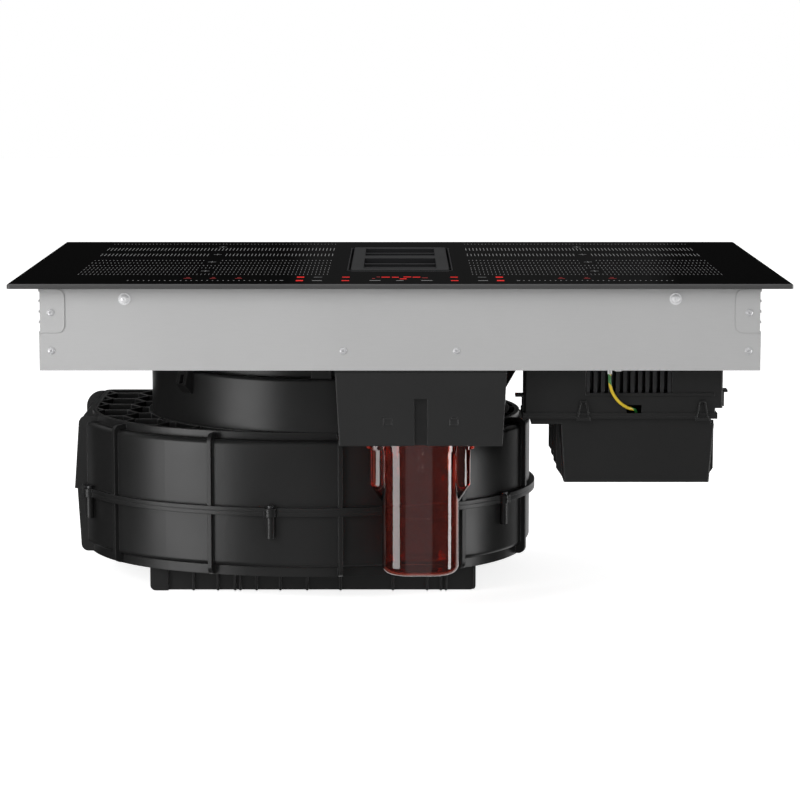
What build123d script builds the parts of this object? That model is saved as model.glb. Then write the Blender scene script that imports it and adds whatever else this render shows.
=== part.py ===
"""Downdraft induction cooktop, as an assembly of separate pieces.

Millimetres, +Z up, X to the right, Y to the back. The origin is the centre of the worktop
cut-out on the worktop's top face, where the underside of the glass rests.
"""

from build123d import *
import math
import os

os.makedirs("parts", exist_ok=True)

# ---------------------------------------------------------------- driving dimensions
# Glass
glass_width = 800
glass_depth = 520
glass_thick = 5
glass_corner = 4
glass_bevel = 1.2

# Sheet metal casing under the glass
casing_width = 740
casing_depth = 480
casing_height = 86
sheet = 1.2
bond_thick = 2
flange_width = 12
front_flange_width = 10
panel_rise = 1.4
notch_length = 52
tab_width = 26.5
tab_height = 45
tab_corner = 8
vent_rows = 4
vent_height = 8.7
vent_pitch = 10.8
vent_length = 30
vent_gap = 8
vent_columns = 11
vent_first_z = -4.6

# Screws of the casing
screw_head_r = 3.5
screw_head_height = 1.2
screw_rim_r = 3.9
screw_rim_thick = 0.4
screw_core_r = 1.5
screw_length = 7
screw_low_z = -65.6
screw_tab_z = -26
screw_edge = 12.5
screw_mid_x = 58
big_screw_x = 282
big_screw_z = -12
big_head_r = 4.6
big_head_height = 3.4
washer_r = 6.3
washer_thick = 1
big_core_r = 2.4
big_screw_length = 10
screw_socket_r = 1.1
screw_socket_depth = 0.9
bracket_width = 44
bracket_height = 18
bracket_thick = 2

# Air inlet in the middle of the glass
inlet_y = 29.6
inlet_width = 114
inlet_depth = 280
frame_gap = 0.5
frame_wall = 1.3
frame_proud = 0.4
frame_low = -13
frame_ledge = 3
filter_step = 3.8
grille_width = 105.4
grille_depth = 275
grille_thick = 6.5
grille_proud = 1.3
grille_end = 13.5
grille_rim = 9
grille_bar = 30
grille_bar_y = 38
fin_thick = 8
fin_drop = 2.6
fins_per_side = 2
grille_leg = 7
lift_gap = 0.3
filter_depth = 50
filter_wall = 1.2
filter_floor = 1.6
filter_hole = 14
filter_hole_pitch = 18
filter_columns = 5
filter_rows = 14
filter_corner = 4
mesh_thick = 6
mesh_hole = 8
handle_r = 3
handle_z = -22
duct_wall = 3
duct_flange = 10
duct_flange_thick = 3
duct_seal_thick = 1.2
duct_outlet_width = 96
duct_outlet_front = -35
duct_outlet_back = 160
duct_floor_thick = 3

# Induction parts in each half of the casing
coil_centre_x = 207
coil_front_y = -62
coil_rear_y = 128
coil_width = 228
coil_depth = 178
coil_bore_width = 92
coil_bore_depth = 46
coil_thick = 10
coil_round = 62
coil_bore_round = 20
mica_thick = 0.8
mica_margin = 6
ferrite_thick = 5
ferrite_width = 14
ferrite_length = 52
carrier_thick = 2
carrier_margin = 8
sensor_r = 7
post_r = 4
post_inset = 12
board_thick = 1.6
board_gap = 9
board_width = 160
board_depth = 300
board_y = -40
board_x = 190
sink_width = 70
sink_depth = 180
sink_base = 5
sink_height = 34
sink_fin = 2
sink_fins = 9
cap_r = 12
cap_height = 32
fan_size = 80
fan_thick = 25
fan_x = 320
fan_y = -40
fan_rotor_r = 35
fan_hub_r = 15
fan_blades = 7
fan_pin_r = 2
fan_running_gap = 0.05
fan_rotor_gap = 1.5
fan_base = 4
fan_lift = 0.3
fan_strut = 5
fan_pin_height = 16
fan_hub_height = 17.5
fan_blade_thick = 1.4
fan_blade_depth = 14
fan_blade_tilt = 35
fan_hole_r = 4
fan_hole_pitch = 11
fan_hole_count = 6
terminal_width = 90
terminal_depth = 46
terminal_height = 30
terminal_x = -250
terminal_wall = 2
terminals = 5
terminal_pitch = 15
terminal_post_r = 3.5
terminal_post = 12
gland_r = 11
gland_bore_r = 7
gland_length = 14
gland_flange = 4
touch_width = 590
touch_depth = 50
touch_tray_depth = 12
touch_wall = 1.6
touch_gap = 0.4
touch_lift = 2
pad_r = 5
pad_pitch = 22
pads = 25

# Neck, the round air chamber under the casing
neck_x = -81
neck_y = 90
neck_r = 202
neck_wall = 3
neck_top = -112
neck_foot = -170
neck_back = 226
neck_edge = 3
cover_thick = 3
collar_r = 188
collar_back = 222
collar_wall = 3
chimney_wall = 2.5
neck_ledge = 5
latch_angles = (-138.5, -60, -5, 160)
latch_width = 17
latch_slot = 6
latch_top = -104
latch_foot = -136
latch_swell = -126
latch_proud = 11
latch_foot_proud = 2.8
block_angle = -91
block_width = 22
block_height = 9
gusset_angles = (-12, 35, 150)
gusset_foot = -143
gusset_nub = 3
gusset_reach = 33
gusset_thick = 4
gusset_pad = 4

# Drum, the filter housing with its outlet on top
drum_left = -364
drum_right = 148
drum_back = 247
drum_front = -124
drum_front_x = -99
drum_front_r = 338
drum_right_r = 190
drum_left_r = 202
drum_back_corner_r = 22
drum_wall = 3
drum_step = -178
drum_top = -170
drum_rim_inset = 12
drum_edge = 5
drum_seam = -254.3
drum_bottom = -327
drum_low_step = -316
drum_low_inset = 6
drum_floor = 3
seam_flange = 6
seam_half = 4.6
rib_width = 4.5
rib_proud = 5
rib_corner = 8
rib_angles = (-108.2, -84.1)
right_rib_angles = (-55, -20)
left_rib_angle = -138.1
left_rib_y = 28
left_rib_prouds = (8, 14, 11, 7)
back_rib_y = 222
back_rib_proud = 10
back_rib_corner = 18
boss_angle = -96.7
left_boss_angle = -153
right_boss_angle = -36.8
boss_r = 7
boss_stem_r = 4.5
boss_stem = 24
boss_proud = 6
boss_back_x = (-290, -125, 40)
drum_screw_r = 4
drum_screw_head = 3
drum_screw_core_r = 1.8
drum_screw_length = 16
deck_r = 204
deck_thick = 3
deck_back = 231
mouth_r = 92
grille_seat = 2
hex_side = 27
hex_rib = 2.6
hex_frame = 2
hex_offset = -14.25
hex_columns = 14
hex_rows = 9
grille_gap = 0.3

# Fan, motor and filter inside the drum
impeller_r = 118
impeller_inner_r = 88
impeller_top = -180
impeller_plate = -246
impeller_plate_thick = 2.4
impeller_ring = 3
impeller_blades = 36
blade_thick = 1.6
blade_sweep = 40
hub_r = 14
hub_height = 20
shaft_r = 5
shaft_gap = 0.05
shaft_nose = 6
shaft_depth = 36
motor_r = 48
motor_top = -254
motor_height = 48
motor_rib_r = 3
motor_grooves = 18
mount_thick = 3
mount_r = 74
mount_hole_r = 6
mount_hole_ring = 40
mount_holes = 6
damper_r = 8
damper_ring = 62
dampers = 4
odour_outer_r = 134
odour_inner_r = 121
odour_pleats = 40
odour_pleat_width = 6
odour_pleat_depth = 14
odour_gap = 0.3

# Ribbed base under the drum
base_left = -275.5
base_right = 83.5
base_front = -60
base_back = 190
base_height = 27
base_wall = 3
base_recess = 5
base_panel = 20
base_corner = 6
base_rib_x = (-227.8, -200.8, -181.9, -176.1, -158.3, -132, -102.5, -65.6, -7.8, 30, 45.1, 50.8)
base_rib_width = 2.4
base_ties = (20, 110)
base_tie_lift = 12

# Liquid collector box with its cup
box_left = -67
box_right = 110
box_draft = 4.2
box_front = -238
box_back = -134
box_bottom = -165
box_wall = 2.5
box_floor = 3
box_edge = 1
box_lid = 2.5
box_hole_r = 38
slot_width = 13.5
slot_height = 49
slot_depth = 8
icon_x = 34
icon_z = -140
icon_size = 9
icon_depth = 0.5
icon_line = 1
cup_x = 21.5
cup_y = -181
cup_width = 81
cup_depth = 70
cup_round = 30
cup_wall = 2.2
cup_bottom = -308
cup_edge = 9
cup_gap = 0.4
cup_flange = 10
cup_flange_proud = 1.6
wing_width = 106
wing_depth = 34
wing_round = 16
wing_end = -214
wing_fade = -234
wing_flange_width = 113
spigot_r = 34
spigot_wall = 2.4
spigot_height = 12
lug_proud = 3
pointer_width = 4.4
pointer_top = -171
pointer_drop = 24
pointer_proud = 1
level_z = (-198, -245.5)
level_x = 17.7
level_width = 24
level_line = 0.8
level_proud = 0.4
socket_r = 44
socket_wall = 4.7
socket_plate = 2.7
socket_ledge = 2.2
ledge_start = 8
ledge_middle = 29
ledge_end = 50
spigot_gap = 0.4
valve_thick = 3
valve_gap = 0.3
valve_hole_r = 9
valve_offset = 18
valve_open_angle = 90
valve_pin_r = 4
valve_head_r = 6
valve_head = 1.5
key_width = 6
key_depth = 5
cup_turn = 40
seal_r = 37.6
lug_width = 8
lug_height = 4
lug_angles = (30, 150, 270)
drain_r = 9
drain_wall = 1.8
drain_start_z = -74
drain_bend = 10
drain_x = 21.5
drain_y = -156
drain_flange = 1.5
drain_flange_thick = 2
drain_end_z = -96

# Control electronics box on the right
ebox_left = 130
ebox_deep_left = 145
ebox_right = 328.5
ebox_front = -205
ebox_back = 25
ebox_wing_back = -150
cheek_right = 336
cheek_bottom = -130
ebox_seam = -138
ebox_draft = 2
ebox_wall = 2.5
ebox_flange = 2
ebox_flange_thick = 3
window_left = 193.4
window_right = 282.5
window_bottom = -114
ledge_height = 3
ledge_proud = 2
ledge_right = 327.5
esink_fins = 12
esink_fin = 3.7
esink_gap = 0.4
esink_base = 4
esink_depth = 24
step_left = 133
step_bottom = -147.5
tub_left = 167.5
tub_right = 327.9
tub_bottom = -209.5
tub_draft = 4.2
tub_rib_y = (-170, -120, -70, -20)
tub_rib_proud = 2.6
tub_rib_width = 3
tub_rib_end = -198.5
clip_x = (190.8, 314.6)
clip_top_width = 7
clip_foot_width = 14.5
clip_top = -122
clip_foot = -143
clip_line = 1.6
clip_proud = 2.2
clip_gap = 0.3
catch_proud = 1.8
hook_y = -196
hook_depth = 16
hook_line = 2.4
hook_left_top = -117
hook_left_foot = -139.5
hook_left_reach = 9.5
hook_right_top = -112
hook_right_foot = -134
hook_right_reach = 6
cable_hole_left = 236
cable_hole_right = 251.5
cable_hole_top = -126.8
cable_hole_bottom = -135.2
eboard_gap = 22
eboard_margin = 4
choke_r = 16
choke_height = 26
choke_x = 205
choke_y = -60
relay_size = 18
relay_x = 285
relay_y = -90
relay_pitch = 34
relays = 3
eterminal_r = 3.2
eterminal_height = 4

# Earth wire, from a terminal under the casing into the electronics box
wire_r = 1.6
lug_ring_x = 226
lug_ring_r = 5
lug_ring_thick = 1
lug_barrel_r = 2.6
wire_points = (
    (217.4, -213, -93),
    (217.4, -213, -103),
    (220.3, -213.5, -113),
    (227.5, -213.2, -123),
    (237.5, -210.2, -129.5),
    (244.6, -203.4, -131.2),
    (247.6, -195.5, -137),
    (249, -191, -149),
    (249, -189.5, -164),
    (249, -189.5, -180),
)
wire_bend = 0.45

# ---------------------------------------------------------------- worked out from the above
cas_x = casing_width / 2
cas_y = casing_depth / 2
casing_top = -bond_thick
casing_bottom = -casing_height
floor_top = casing_bottom + sheet
grille_top = glass_thick + grille_proud
grille_low = grille_top - grille_thick
frame_outer_w = inlet_width - 2 * frame_gap
frame_outer_d = inlet_depth - 2 * frame_gap
frame_inner_w = frame_outer_w - 2 * frame_wall
frame_inner_d = frame_outer_d - 2 * frame_wall
duct_inner_w = inlet_width + 1
duct_inner_d = inlet_depth + 1
duct_outer_w = duct_inner_w + 2 * duct_wall
duct_outer_d = duct_inner_d + 2 * duct_wall
shaft_inner_w = frame_inner_w - 2 * filter_step + 2
shaft_inner_d = frame_inner_d - 2 * filter_step + 2
filter_w = shaft_inner_w - 2
filter_d = shaft_inner_d - 2
filter_seat = frame_low + frame_ledge
filter_bottom = filter_seat - filter_depth
duct_top = -duct_seal_thick
duct_bottom = neck_top + cover_thick
duct_low_w = shaft_inner_w + 2 * duct_wall
duct_low_d = shaft_inner_d + 2 * duct_wall
drum_front_y = drum_front + drum_front_r
drum_right_x = drum_right - drum_right_r
drum_shift_x = drum_right_x - drum_front_x
drum_shift = drum_front_r - drum_right_r
drum_right_y = drum_front_y - math.sqrt(drum_shift**2 - drum_shift_x**2)
drum_join_angle = math.degrees(math.atan2(drum_right_y - drum_front_y, drum_shift_x))
drum_left_x = drum_left + drum_left_r
left_shift_x = drum_left_x - drum_front_x
left_shift = drum_front_r - drum_left_r
drum_left_y = drum_front_y - math.sqrt(left_shift**2 - left_shift_x**2)
left_join_angle = math.degrees(math.atan2(drum_left_y - drum_front_y, left_shift_x))
drum_floor_top = drum_bottom + drum_floor
coil_top = -mica_thick
coil_bottom = coil_top - coil_thick
carrier_top = coil_bottom - ferrite_thick
carrier_bottom = carrier_top - carrier_thick
board_bottom = floor_top + board_gap
board_top = board_bottom + board_thick
base_bottom = drum_bottom - base_height
cup_top = box_bottom - cup_gap
cup_flange_bottom = cup_top - cup_flange
neck_ledge_r = collar_r - neck_ledge
cover_top = neck_top + cover_thick
rim_inner = drum_rim_inset + drum_wall
deck_top = neck_foot
deck_bottom = deck_top - deck_thick
boss_top = drum_seam + seam_half
boss_bottom = drum_seam - seam_half


# ---------------------------------------------------------------- small helpers
def block(x0, x1, y0, y1, z0, z1, mode=Mode.ADD):
    """A box between two corners."""
    with Locations(((x0 + x1) / 2, (y0 + y1) / 2, (z0 + z1) / 2)):
        Box(x1 - x0, y1 - y0, z1 - z0, mode=mode)


def post(x, y, z0, z1, radius, mode=Mode.ADD):
    """An upright cylinder between two heights."""
    with Locations((x, y, (z0 + z1) / 2)):
        Cylinder(radius, z1 - z0, mode=mode)


def stud(x, y, z, length, radius, mode=Mode.ADD):
    """A cylinder along Y, from the point given towards the back."""
    with Locations(Location((x, y + length / 2, z), (90, 0, 0))):
        Cylinder(radius, length, mode=mode)


def save(builder, node):
    """Label a finished piece and write it."""
    builder.part.label = node
    export_step(builder.part, f"parts/{node}.step")


def drum_face(inset):
    """The drum's plan outline, three arcs and a straight back, drawn in by the inset."""
    left = drum_left + inset
    back = drum_back - inset
    front_r = drum_front_r - inset
    left_r = drum_left_r - inset
    right_r = drum_right_r - inset
    front_sweep = drum_join_angle - left_join_angle
    back_angle = math.degrees(math.asin((back - drum_right_y) / right_r))
    with BuildSketch() as face:
        with BuildLine():
            west = CenterArc((drum_left_x, drum_left_y), left_r, 180, 180 + left_join_angle)
            CenterArc((drum_front_x, drum_front_y), front_r, left_join_angle, front_sweep)
            east = CenterArc(
                (drum_right_x, drum_right_y), right_r, drum_join_angle, back_angle - drum_join_angle
            )
            Polyline(east @ 1, (left, back), west @ 0)
        make_face()
        fillet(face.vertices().group_by(Axis.Y)[-1], max(drum_back_corner_r - inset, 2))
    return face.sketch


def neck_face(radius, back):
    """A disc about the neck's axis, cut straight at the back."""
    with BuildSketch() as face:
        with Locations((neck_x, neck_y)):
            Circle(radius)
        with Locations((neck_x, back + radius)):
            Rectangle(4 * radius, 2 * radius, mode=Mode.SUBTRACT)
    return face.sketch


def rounded_face(x, y, width, depth, radius):
    """A rounded rectangle about a point."""
    with BuildSketch() as face:
        with Locations((x, y)):
            RectangleRounded(width, depth, radius)
    return face.sketch


def slab(face, z0, z1, mode=Mode.ADD):
    """A face drawn on the origin plane, made solid between two heights."""
    extrude(face.moved(Location((0, 0, z0))), amount=z1 - z0, dir=(0, 0, 1), mode=mode)


def around(x, y, angle, radius):
    """A place on a circle about an upright axis."""
    place = math.radians(angle)
    return x + radius * math.cos(place), y + radius * math.sin(place)


def radial_plane(x, y, angle):
    """An upright plane that holds the axis at a point and looks along the angle."""
    place = math.radians(angle)
    outwards = (math.cos(place), math.sin(place), 0)
    across = (math.sin(place), -math.cos(place), 0)
    return Plane(origin=(x, y, 0), x_dir=outwards, z_dir=across)


def plate(plane, points, width, corner_points=(), corner=0):
    """A plate drawn on a plane, half its width to each side, with some corners rounded."""
    with BuildSketch(plane) as outline:
        with BuildLine():
            Polyline(*points, close=True)
        make_face()
        for u, v in corner_points:
            fillet(outline.vertices().sort_by_distance((u, v, 0))[0], corner)
    extrude(outline.sketch, amount=width / 2, both=True)


# ---------------------------------------------------------------- glass and inlet
with BuildPart() as glass_top:
    with BuildSketch():
        RectangleRounded(glass_width, glass_depth, glass_corner)
        with Locations((0, inlet_y)):
            Rectangle(inlet_width, inlet_depth, mode=Mode.SUBTRACT)
    extrude(amount=glass_thick)
    top = glass_top.faces().sort_by(Axis.Z)[-1]
    chamfer(top.outer_wire().edges(), glass_bevel)
save(glass_top, "glass_top")

bond_w = casing_width - 4
bond_d = casing_depth - 4
with BuildPart() as glass_bond:
    block(-bond_w / 2, bond_w / 2, -bond_d / 2, bond_d / 2, casing_top, 0)
    block(
        flange_width - bond_w / 2,
        bond_w / 2 - flange_width,
        front_flange_width - bond_d / 2,
        bond_d / 2 - flange_width,
        casing_top,
        0,
        Mode.SUBTRACT,
    )
    block(
        notch_length - cas_x,
        cas_x - notch_length,
        -cas_y,
        sheet - cas_y,
        casing_top,
        0,
        Mode.SUBTRACT,
    )
save(glass_bond, "glass_bond")

with BuildPart() as duct_seal:
    with BuildSketch(Plane.XY.offset(duct_top)):
        with Locations((0, inlet_y)):
            Rectangle(duct_outer_w + 2 * duct_flange, duct_outer_d + 2 * duct_flange)
            Rectangle(duct_inner_w, duct_inner_d, mode=Mode.SUBTRACT)
    extrude(amount=duct_seal_thick)
save(duct_seal, "duct_seal")

with BuildPart() as inlet_duct:
    with BuildSketch(Plane.XY.offset(casing_bottom)):
        with Locations((0, inlet_y)):
            Rectangle(duct_low_w, duct_low_d)
    extrude(amount=duct_top - casing_bottom)
    with BuildSketch(Plane.XY.offset(frame_low - duct_wall)):
        with Locations((0, inlet_y)):
            Rectangle(duct_outer_w, duct_outer_d)
    extrude(amount=duct_top - frame_low + duct_wall)
    # below the casing a narrower spout goes on down to the neck's cover
    block(
        -duct_outlet_width / 2,
        duct_outlet_width / 2,
        duct_outlet_front,
        duct_outlet_back,
        duct_bottom,
        casing_bottom,
    )
    with BuildSketch(Plane.XY.offset(duct_top - duct_flange_thick)):
        with Locations((0, inlet_y)):
            Rectangle(duct_outer_w + 2 * duct_flange, duct_outer_d + 2 * duct_flange)
    extrude(amount=duct_flange_thick)
    with BuildSketch(Plane.XY.offset(frame_low)):
        with Locations((0, inlet_y)):
            Rectangle(duct_inner_w, duct_inner_d)
    extrude(amount=duct_top - frame_low, mode=Mode.SUBTRACT)
    with BuildSketch(Plane.XY.offset(casing_bottom + duct_floor_thick)):
        with Locations((0, inlet_y)):
            Rectangle(shaft_inner_w, shaft_inner_d)
    extrude(amount=frame_low - casing_bottom - duct_floor_thick, mode=Mode.SUBTRACT)
    block(
        chimney_wall - duct_outlet_width / 2,
        duct_outlet_width / 2 - chimney_wall,
        duct_outlet_front + chimney_wall,
        duct_outlet_back - chimney_wall,
        duct_bottom,
        frame_low,
        Mode.SUBTRACT,
    )
    # hole for the drain pipe in the front wall
    stud(drain_x, inlet_y - duct_low_d / 2, drain_start_z, duct_wall, drain_r, Mode.SUBTRACT)
save(inlet_duct, "inlet_duct")

with BuildPart() as inlet_frame:
    with BuildSketch(Plane.XY.offset(frame_low)):
        with Locations((0, inlet_y)):
            Rectangle(frame_outer_w, frame_outer_d)
            Rectangle(shaft_inner_w, shaft_inner_d, mode=Mode.SUBTRACT)
    extrude(amount=frame_ledge)
    with BuildSketch(Plane.XY.offset(frame_low)):
        with Locations((0, inlet_y)):
            Rectangle(frame_outer_w, frame_outer_d)
            Rectangle(frame_inner_w, frame_inner_d, mode=Mode.SUBTRACT)
    extrude(amount=glass_thick + frame_proud - frame_low)
save(inlet_frame, "inlet_frame")

filter_rim_w = frame_inner_w - 2 * lift_gap
filter_rim_d = frame_inner_d - 2 * lift_gap
with BuildPart() as grease_filter:
    with BuildSketch(Plane.XY.offset(filter_bottom)):
        with Locations((0, inlet_y)):
            RectangleRounded(filter_w, filter_d, filter_corner)
    extrude(amount=filter_depth)
    with BuildSketch(Plane.XY.offset(filter_bottom + filter_floor)):
        with Locations((0, inlet_y)):
            inner_w = filter_w - 2 * filter_wall
            inner_d = filter_d - 2 * filter_wall
            RectangleRounded(inner_w, inner_d, filter_corner - filter_wall)
    extrude(amount=filter_depth, mode=Mode.SUBTRACT)
    with BuildSketch(Plane.XY.offset(filter_seat)):
        with Locations((0, inlet_y)):
            Rectangle(filter_rim_w, filter_rim_d)
            Rectangle(filter_w - 2 * filter_wall, filter_d - 2 * filter_wall, mode=Mode.SUBTRACT)
    extrude(amount=filter_floor)
    with BuildSketch(Plane.XY.offset(filter_bottom)):
        with Locations((0, inlet_y)):
            with GridLocations(filter_hole_pitch, filter_hole_pitch, filter_columns, filter_rows):
                Rectangle(filter_hole, filter_hole)
    extrude(amount=filter_floor, mode=Mode.SUBTRACT)
    # bar handle from wall to wall
    with Locations(Location((0, inlet_y, handle_z), (0, 90, 0))):
        Cylinder(handle_r, filter_w - filter_wall)
save(grease_filter, "grease_filter")

mesh_w = filter_w - 2 * filter_wall - 2 * lift_gap
mesh_d = filter_d - 2 * filter_wall - 2 * lift_gap
mesh_z = filter_bottom + filter_floor
with BuildPart() as filter_mesh:
    with BuildSketch(Plane.XY.offset(mesh_z)):
        with Locations((0, inlet_y)):
            RectangleRounded(mesh_w, mesh_d, filter_corner)
            with GridLocations(filter_hole_pitch, filter_hole_pitch, filter_columns, filter_rows):
                Rectangle(mesh_hole, mesh_hole, mode=Mode.SUBTRACT)
    extrude(amount=mesh_thick)
save(filter_mesh, "filter_mesh")

grille_front = inlet_y - grille_depth / 2
grille_back = inlet_y + grille_depth / 2
half_w = grille_width / 2
leg_bottom = filter_seat + filter_floor
with BuildPart() as inlet_grille:
    block(-half_w, half_w, grille_front, grille_back, grille_low, grille_top)
    fillet(inlet_grille.edges().filter_by(Axis.Z), 2)
    fillet(inlet_grille.faces().sort_by(Axis.Z)[-1].edges(), 0.8)
    for low, high in (
        (grille_front + grille_rim, grille_bar_y - grille_bar / 2),
        (grille_bar_y + grille_bar / 2, grille_back - 2 * grille_rim),
    ):
        window = high - low
        slot_count = fins_per_side + 1
        slot_size = (window - fins_per_side * fin_thick) / slot_count
        for index in range(slot_count):
            start = low + index * (slot_size + fin_thick)
            block(
                grille_end - half_w,
                half_w - grille_end,
                start,
                start + slot_size,
                grille_low,
                grille_top,
                Mode.SUBTRACT,
            )
        # the fins lie a little below the top
        block(
            grille_end - half_w,
            half_w - grille_end,
            low,
            high,
            grille_top - fin_drop,
            grille_top,
            Mode.SUBTRACT,
        )
    with Locations((0, inlet_y, (leg_bottom + grille_low) / 2)):
        with GridLocations(grille_width - grille_leg, grille_depth - grille_leg, 2, 2):
            Box(grille_leg, grille_leg, grille_low - leg_bottom)
save(inlet_grille, "inlet_grille")

# ---------------------------------------------------------------- sheet metal casing
screw_places = (
    (screw_edge - cas_x, -cas_y - sheet, screw_tab_z),
    (screw_edge - cas_x, -cas_y, screw_low_z),
    (-screw_mid_x, -cas_y, screw_low_z),
    (screw_mid_x, -cas_y, screw_low_z),
    (cas_x - screw_edge, -cas_y, screw_low_z),
    (cas_x - screw_edge, -cas_y - sheet, screw_tab_z),
)

with BuildPart() as casing_tray:
    block(sheet - cas_x, cas_x - sheet, sheet - cas_y, cas_y, casing_bottom, floor_top)
    block(sheet - cas_x, cas_x - sheet, cas_y - sheet, cas_y, casing_bottom, casing_top)
    block(sheet - cas_x, cas_x - sheet, cas_y - flange_width, cas_y, casing_top - sheet, casing_top)
    with Locations((0, inlet_y, casing_bottom)):
        Box(duct_low_w, duct_low_d, 4 * sheet, mode=Mode.SUBTRACT)
    # air holes under the two cooling fans
    for side in (-1, 1):
        with Locations((side * fan_x, fan_y, floor_top)):
            with GridLocations(fan_hole_pitch, fan_hole_pitch, fan_hole_count, fan_hole_count):
                Cylinder(fan_hole_r, 4 * sheet, mode=Mode.SUBTRACT)
    # drain pipe and mains inlet
    post(drain_x, drain_y, casing_bottom, floor_top, drain_r, Mode.SUBTRACT)
    stud(terminal_x, cas_y - sheet, floor_top + terminal_height / 2, sheet, gland_r, Mode.SUBTRACT)
save(casing_tray, "casing_tray")

with BuildPart() as front_panel:
    with BuildSketch(Plane.XZ.offset(cas_y)):
        with BuildLine():
            Polyline(
                (sheet - cas_x, casing_top),
                (notch_length - cas_x, casing_top),
                (notch_length - cas_x, casing_top + panel_rise),
                (cas_x - notch_length, casing_top + panel_rise),
                (cas_x - notch_length, casing_top),
                (cas_x - sheet, casing_top),
                (cas_x - sheet, casing_bottom),
                (sheet - cas_x, casing_bottom),
                close=True,
            )
        make_face()
    extrude(amount=-sheet)
    for x, face_y, z in screw_places:
        stud(x, -cas_y, z, sheet, screw_core_r, Mode.SUBTRACT)
    for side in (-1, 1):
        stud(side * big_screw_x, -cas_y, big_screw_z, sheet, big_core_r, Mode.SUBTRACT)
    block(
        sheet - cas_x,
        cas_x - sheet,
        sheet - cas_y,
        front_flange_width - cas_y,
        casing_top - sheet,
        casing_top,
    )
save(front_panel, "front_panel")

with BuildPart() as side_plates:
    for side in (-1, 1):
        wall_x = sorted((side * cas_x, side * (cas_x - sheet)))
        lip_x = sorted((side * (cas_x - sheet), side * (cas_x - flange_width)))
        tab_x = sorted((side * cas_x, side * (cas_x - tab_width)))
        block(*wall_x, -cas_y, cas_y, casing_bottom, casing_top)
        block(
            *lip_x,
            front_flange_width - cas_y,
            cas_y - flange_width,
            casing_top - sheet,
            casing_top,
        )
        # tabs that wrap over the front panel and over the back of the tray
        block(*tab_x, -cas_y - sheet, -cas_y, casing_top - tab_height, casing_top)
        block(*tab_x, cas_y, cas_y + sheet, casing_top - tab_height, casing_top)
        for row in range(vent_rows):
            high = vent_first_z - row * vent_pitch
            for column in range(vent_columns):
                start = column * (vent_length + vent_gap) - cas_y - sheet
                block(*wall_x, start, start + vent_length, high - vent_height, high, Mode.SUBTRACT)
        stud(
            side * (cas_x - screw_edge),
            -cas_y - sheet,
            screw_tab_z,
            sheet,
            screw_core_r,
            Mode.SUBTRACT,
        )
    corners = side_plates.edges().filter_by(Axis.Y).filter_by_position(
        Axis.X, tab_width - cas_x - 0.1, cas_x - tab_width + 0.1
    )
    fillet(corners, tab_corner)
save(side_plates, "side_plates")


def round_screw(head_r, head_height, core_r, length, disc_r, disc_thick):
    """A round-head screw with a disc under its head; it points down and its seat is at zero."""
    rise = disc_thick + head_height
    with BuildPart() as screw:
        with BuildSketch(Plane.XZ):
            with BuildLine():
                Polyline(
                    (0, rise),
                    (0, -length),
                    (core_r, -length),
                    (core_r, 0),
                    (disc_r, 0),
                    (disc_r, disc_thick),
                    (head_r, disc_thick),
                )
                dome = ThreePointArc(
                    (head_r, disc_thick),
                    (head_r * 0.8, disc_thick + head_height * 0.7),
                    (head_r * 0.4, rise),
                )
                Line(dome @ 1, (0, rise))
            make_face()
        revolve(axis=Axis.Z)
        with Locations((0, 0, rise)):
            Cylinder(screw_socket_r, 2 * screw_socket_depth, mode=Mode.SUBTRACT)
    return screw.part


casing_screw = round_screw(
    screw_head_r, screw_head_height, screw_core_r, screw_length, screw_rim_r, screw_rim_thick
)
with BuildPart() as casing_screws:
    with Locations(*[Location(place, (90, 0, 0)) for place in screw_places]):
        add(casing_screw)
save(casing_screws, "casing_screws")

big_screw = round_screw(
    big_head_r, big_head_height, big_core_r, big_screw_length, washer_r, washer_thick
)
with BuildPart() as bracket_screws:
    for side in (-1, 1):
        with Locations(Location((side * big_screw_x, -cas_y, big_screw_z), (90, 0, 0))):
            add(big_screw)
save(bracket_screws, "bracket_screws")

# plates behind the front panel that the big screws pull the worktop clips up with
with BuildPart() as fixing_brackets:
    for side in (-1, 1):
        middle = side * big_screw_x
        block(
            middle - bracket_width / 2,
            middle + bracket_width / 2,
            sheet - cas_y,
            sheet - cas_y + bracket_thick,
            big_screw_z - bracket_height,
            casing_top - sheet,
        )
        block(
            middle - bracket_width / 4,
            middle + bracket_width / 4,
            sheet - cas_y + bracket_thick,
            sheet - cas_y + 3 * bracket_thick,
            big_screw_z - bracket_height,
            big_screw_z - bracket_height + bracket_thick,
        )
        stud(middle, sheet - cas_y, big_screw_z, bracket_thick, big_core_r, Mode.SUBTRACT)
save(fixing_brackets, "fixing_brackets")

# ---------------------------------------------------------------- induction parts
coil_places = [
    (side * coil_centre_x, y) for side in (-1, 1) for y in (coil_front_y, coil_rear_y)
]
with BuildPart() as induction_coils:
    with BuildSketch(Plane.XY.offset(coil_bottom)):
        with Locations(*coil_places):
            RectangleRounded(coil_width, coil_depth, coil_round)
            RectangleRounded(coil_bore_width, coil_bore_depth, coil_bore_round, mode=Mode.SUBTRACT)
    extrude(amount=coil_thick)
save(induction_coils, "induction_coils")

with BuildPart() as mica_sheets:
    with BuildSketch(Plane.XY.offset(coil_top)):
        with Locations(*coil_places):
            RectangleRounded(coil_width + mica_margin, coil_depth + mica_margin, coil_round)
    extrude(amount=mica_thick)
save(mica_sheets, "mica_sheets")

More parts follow.
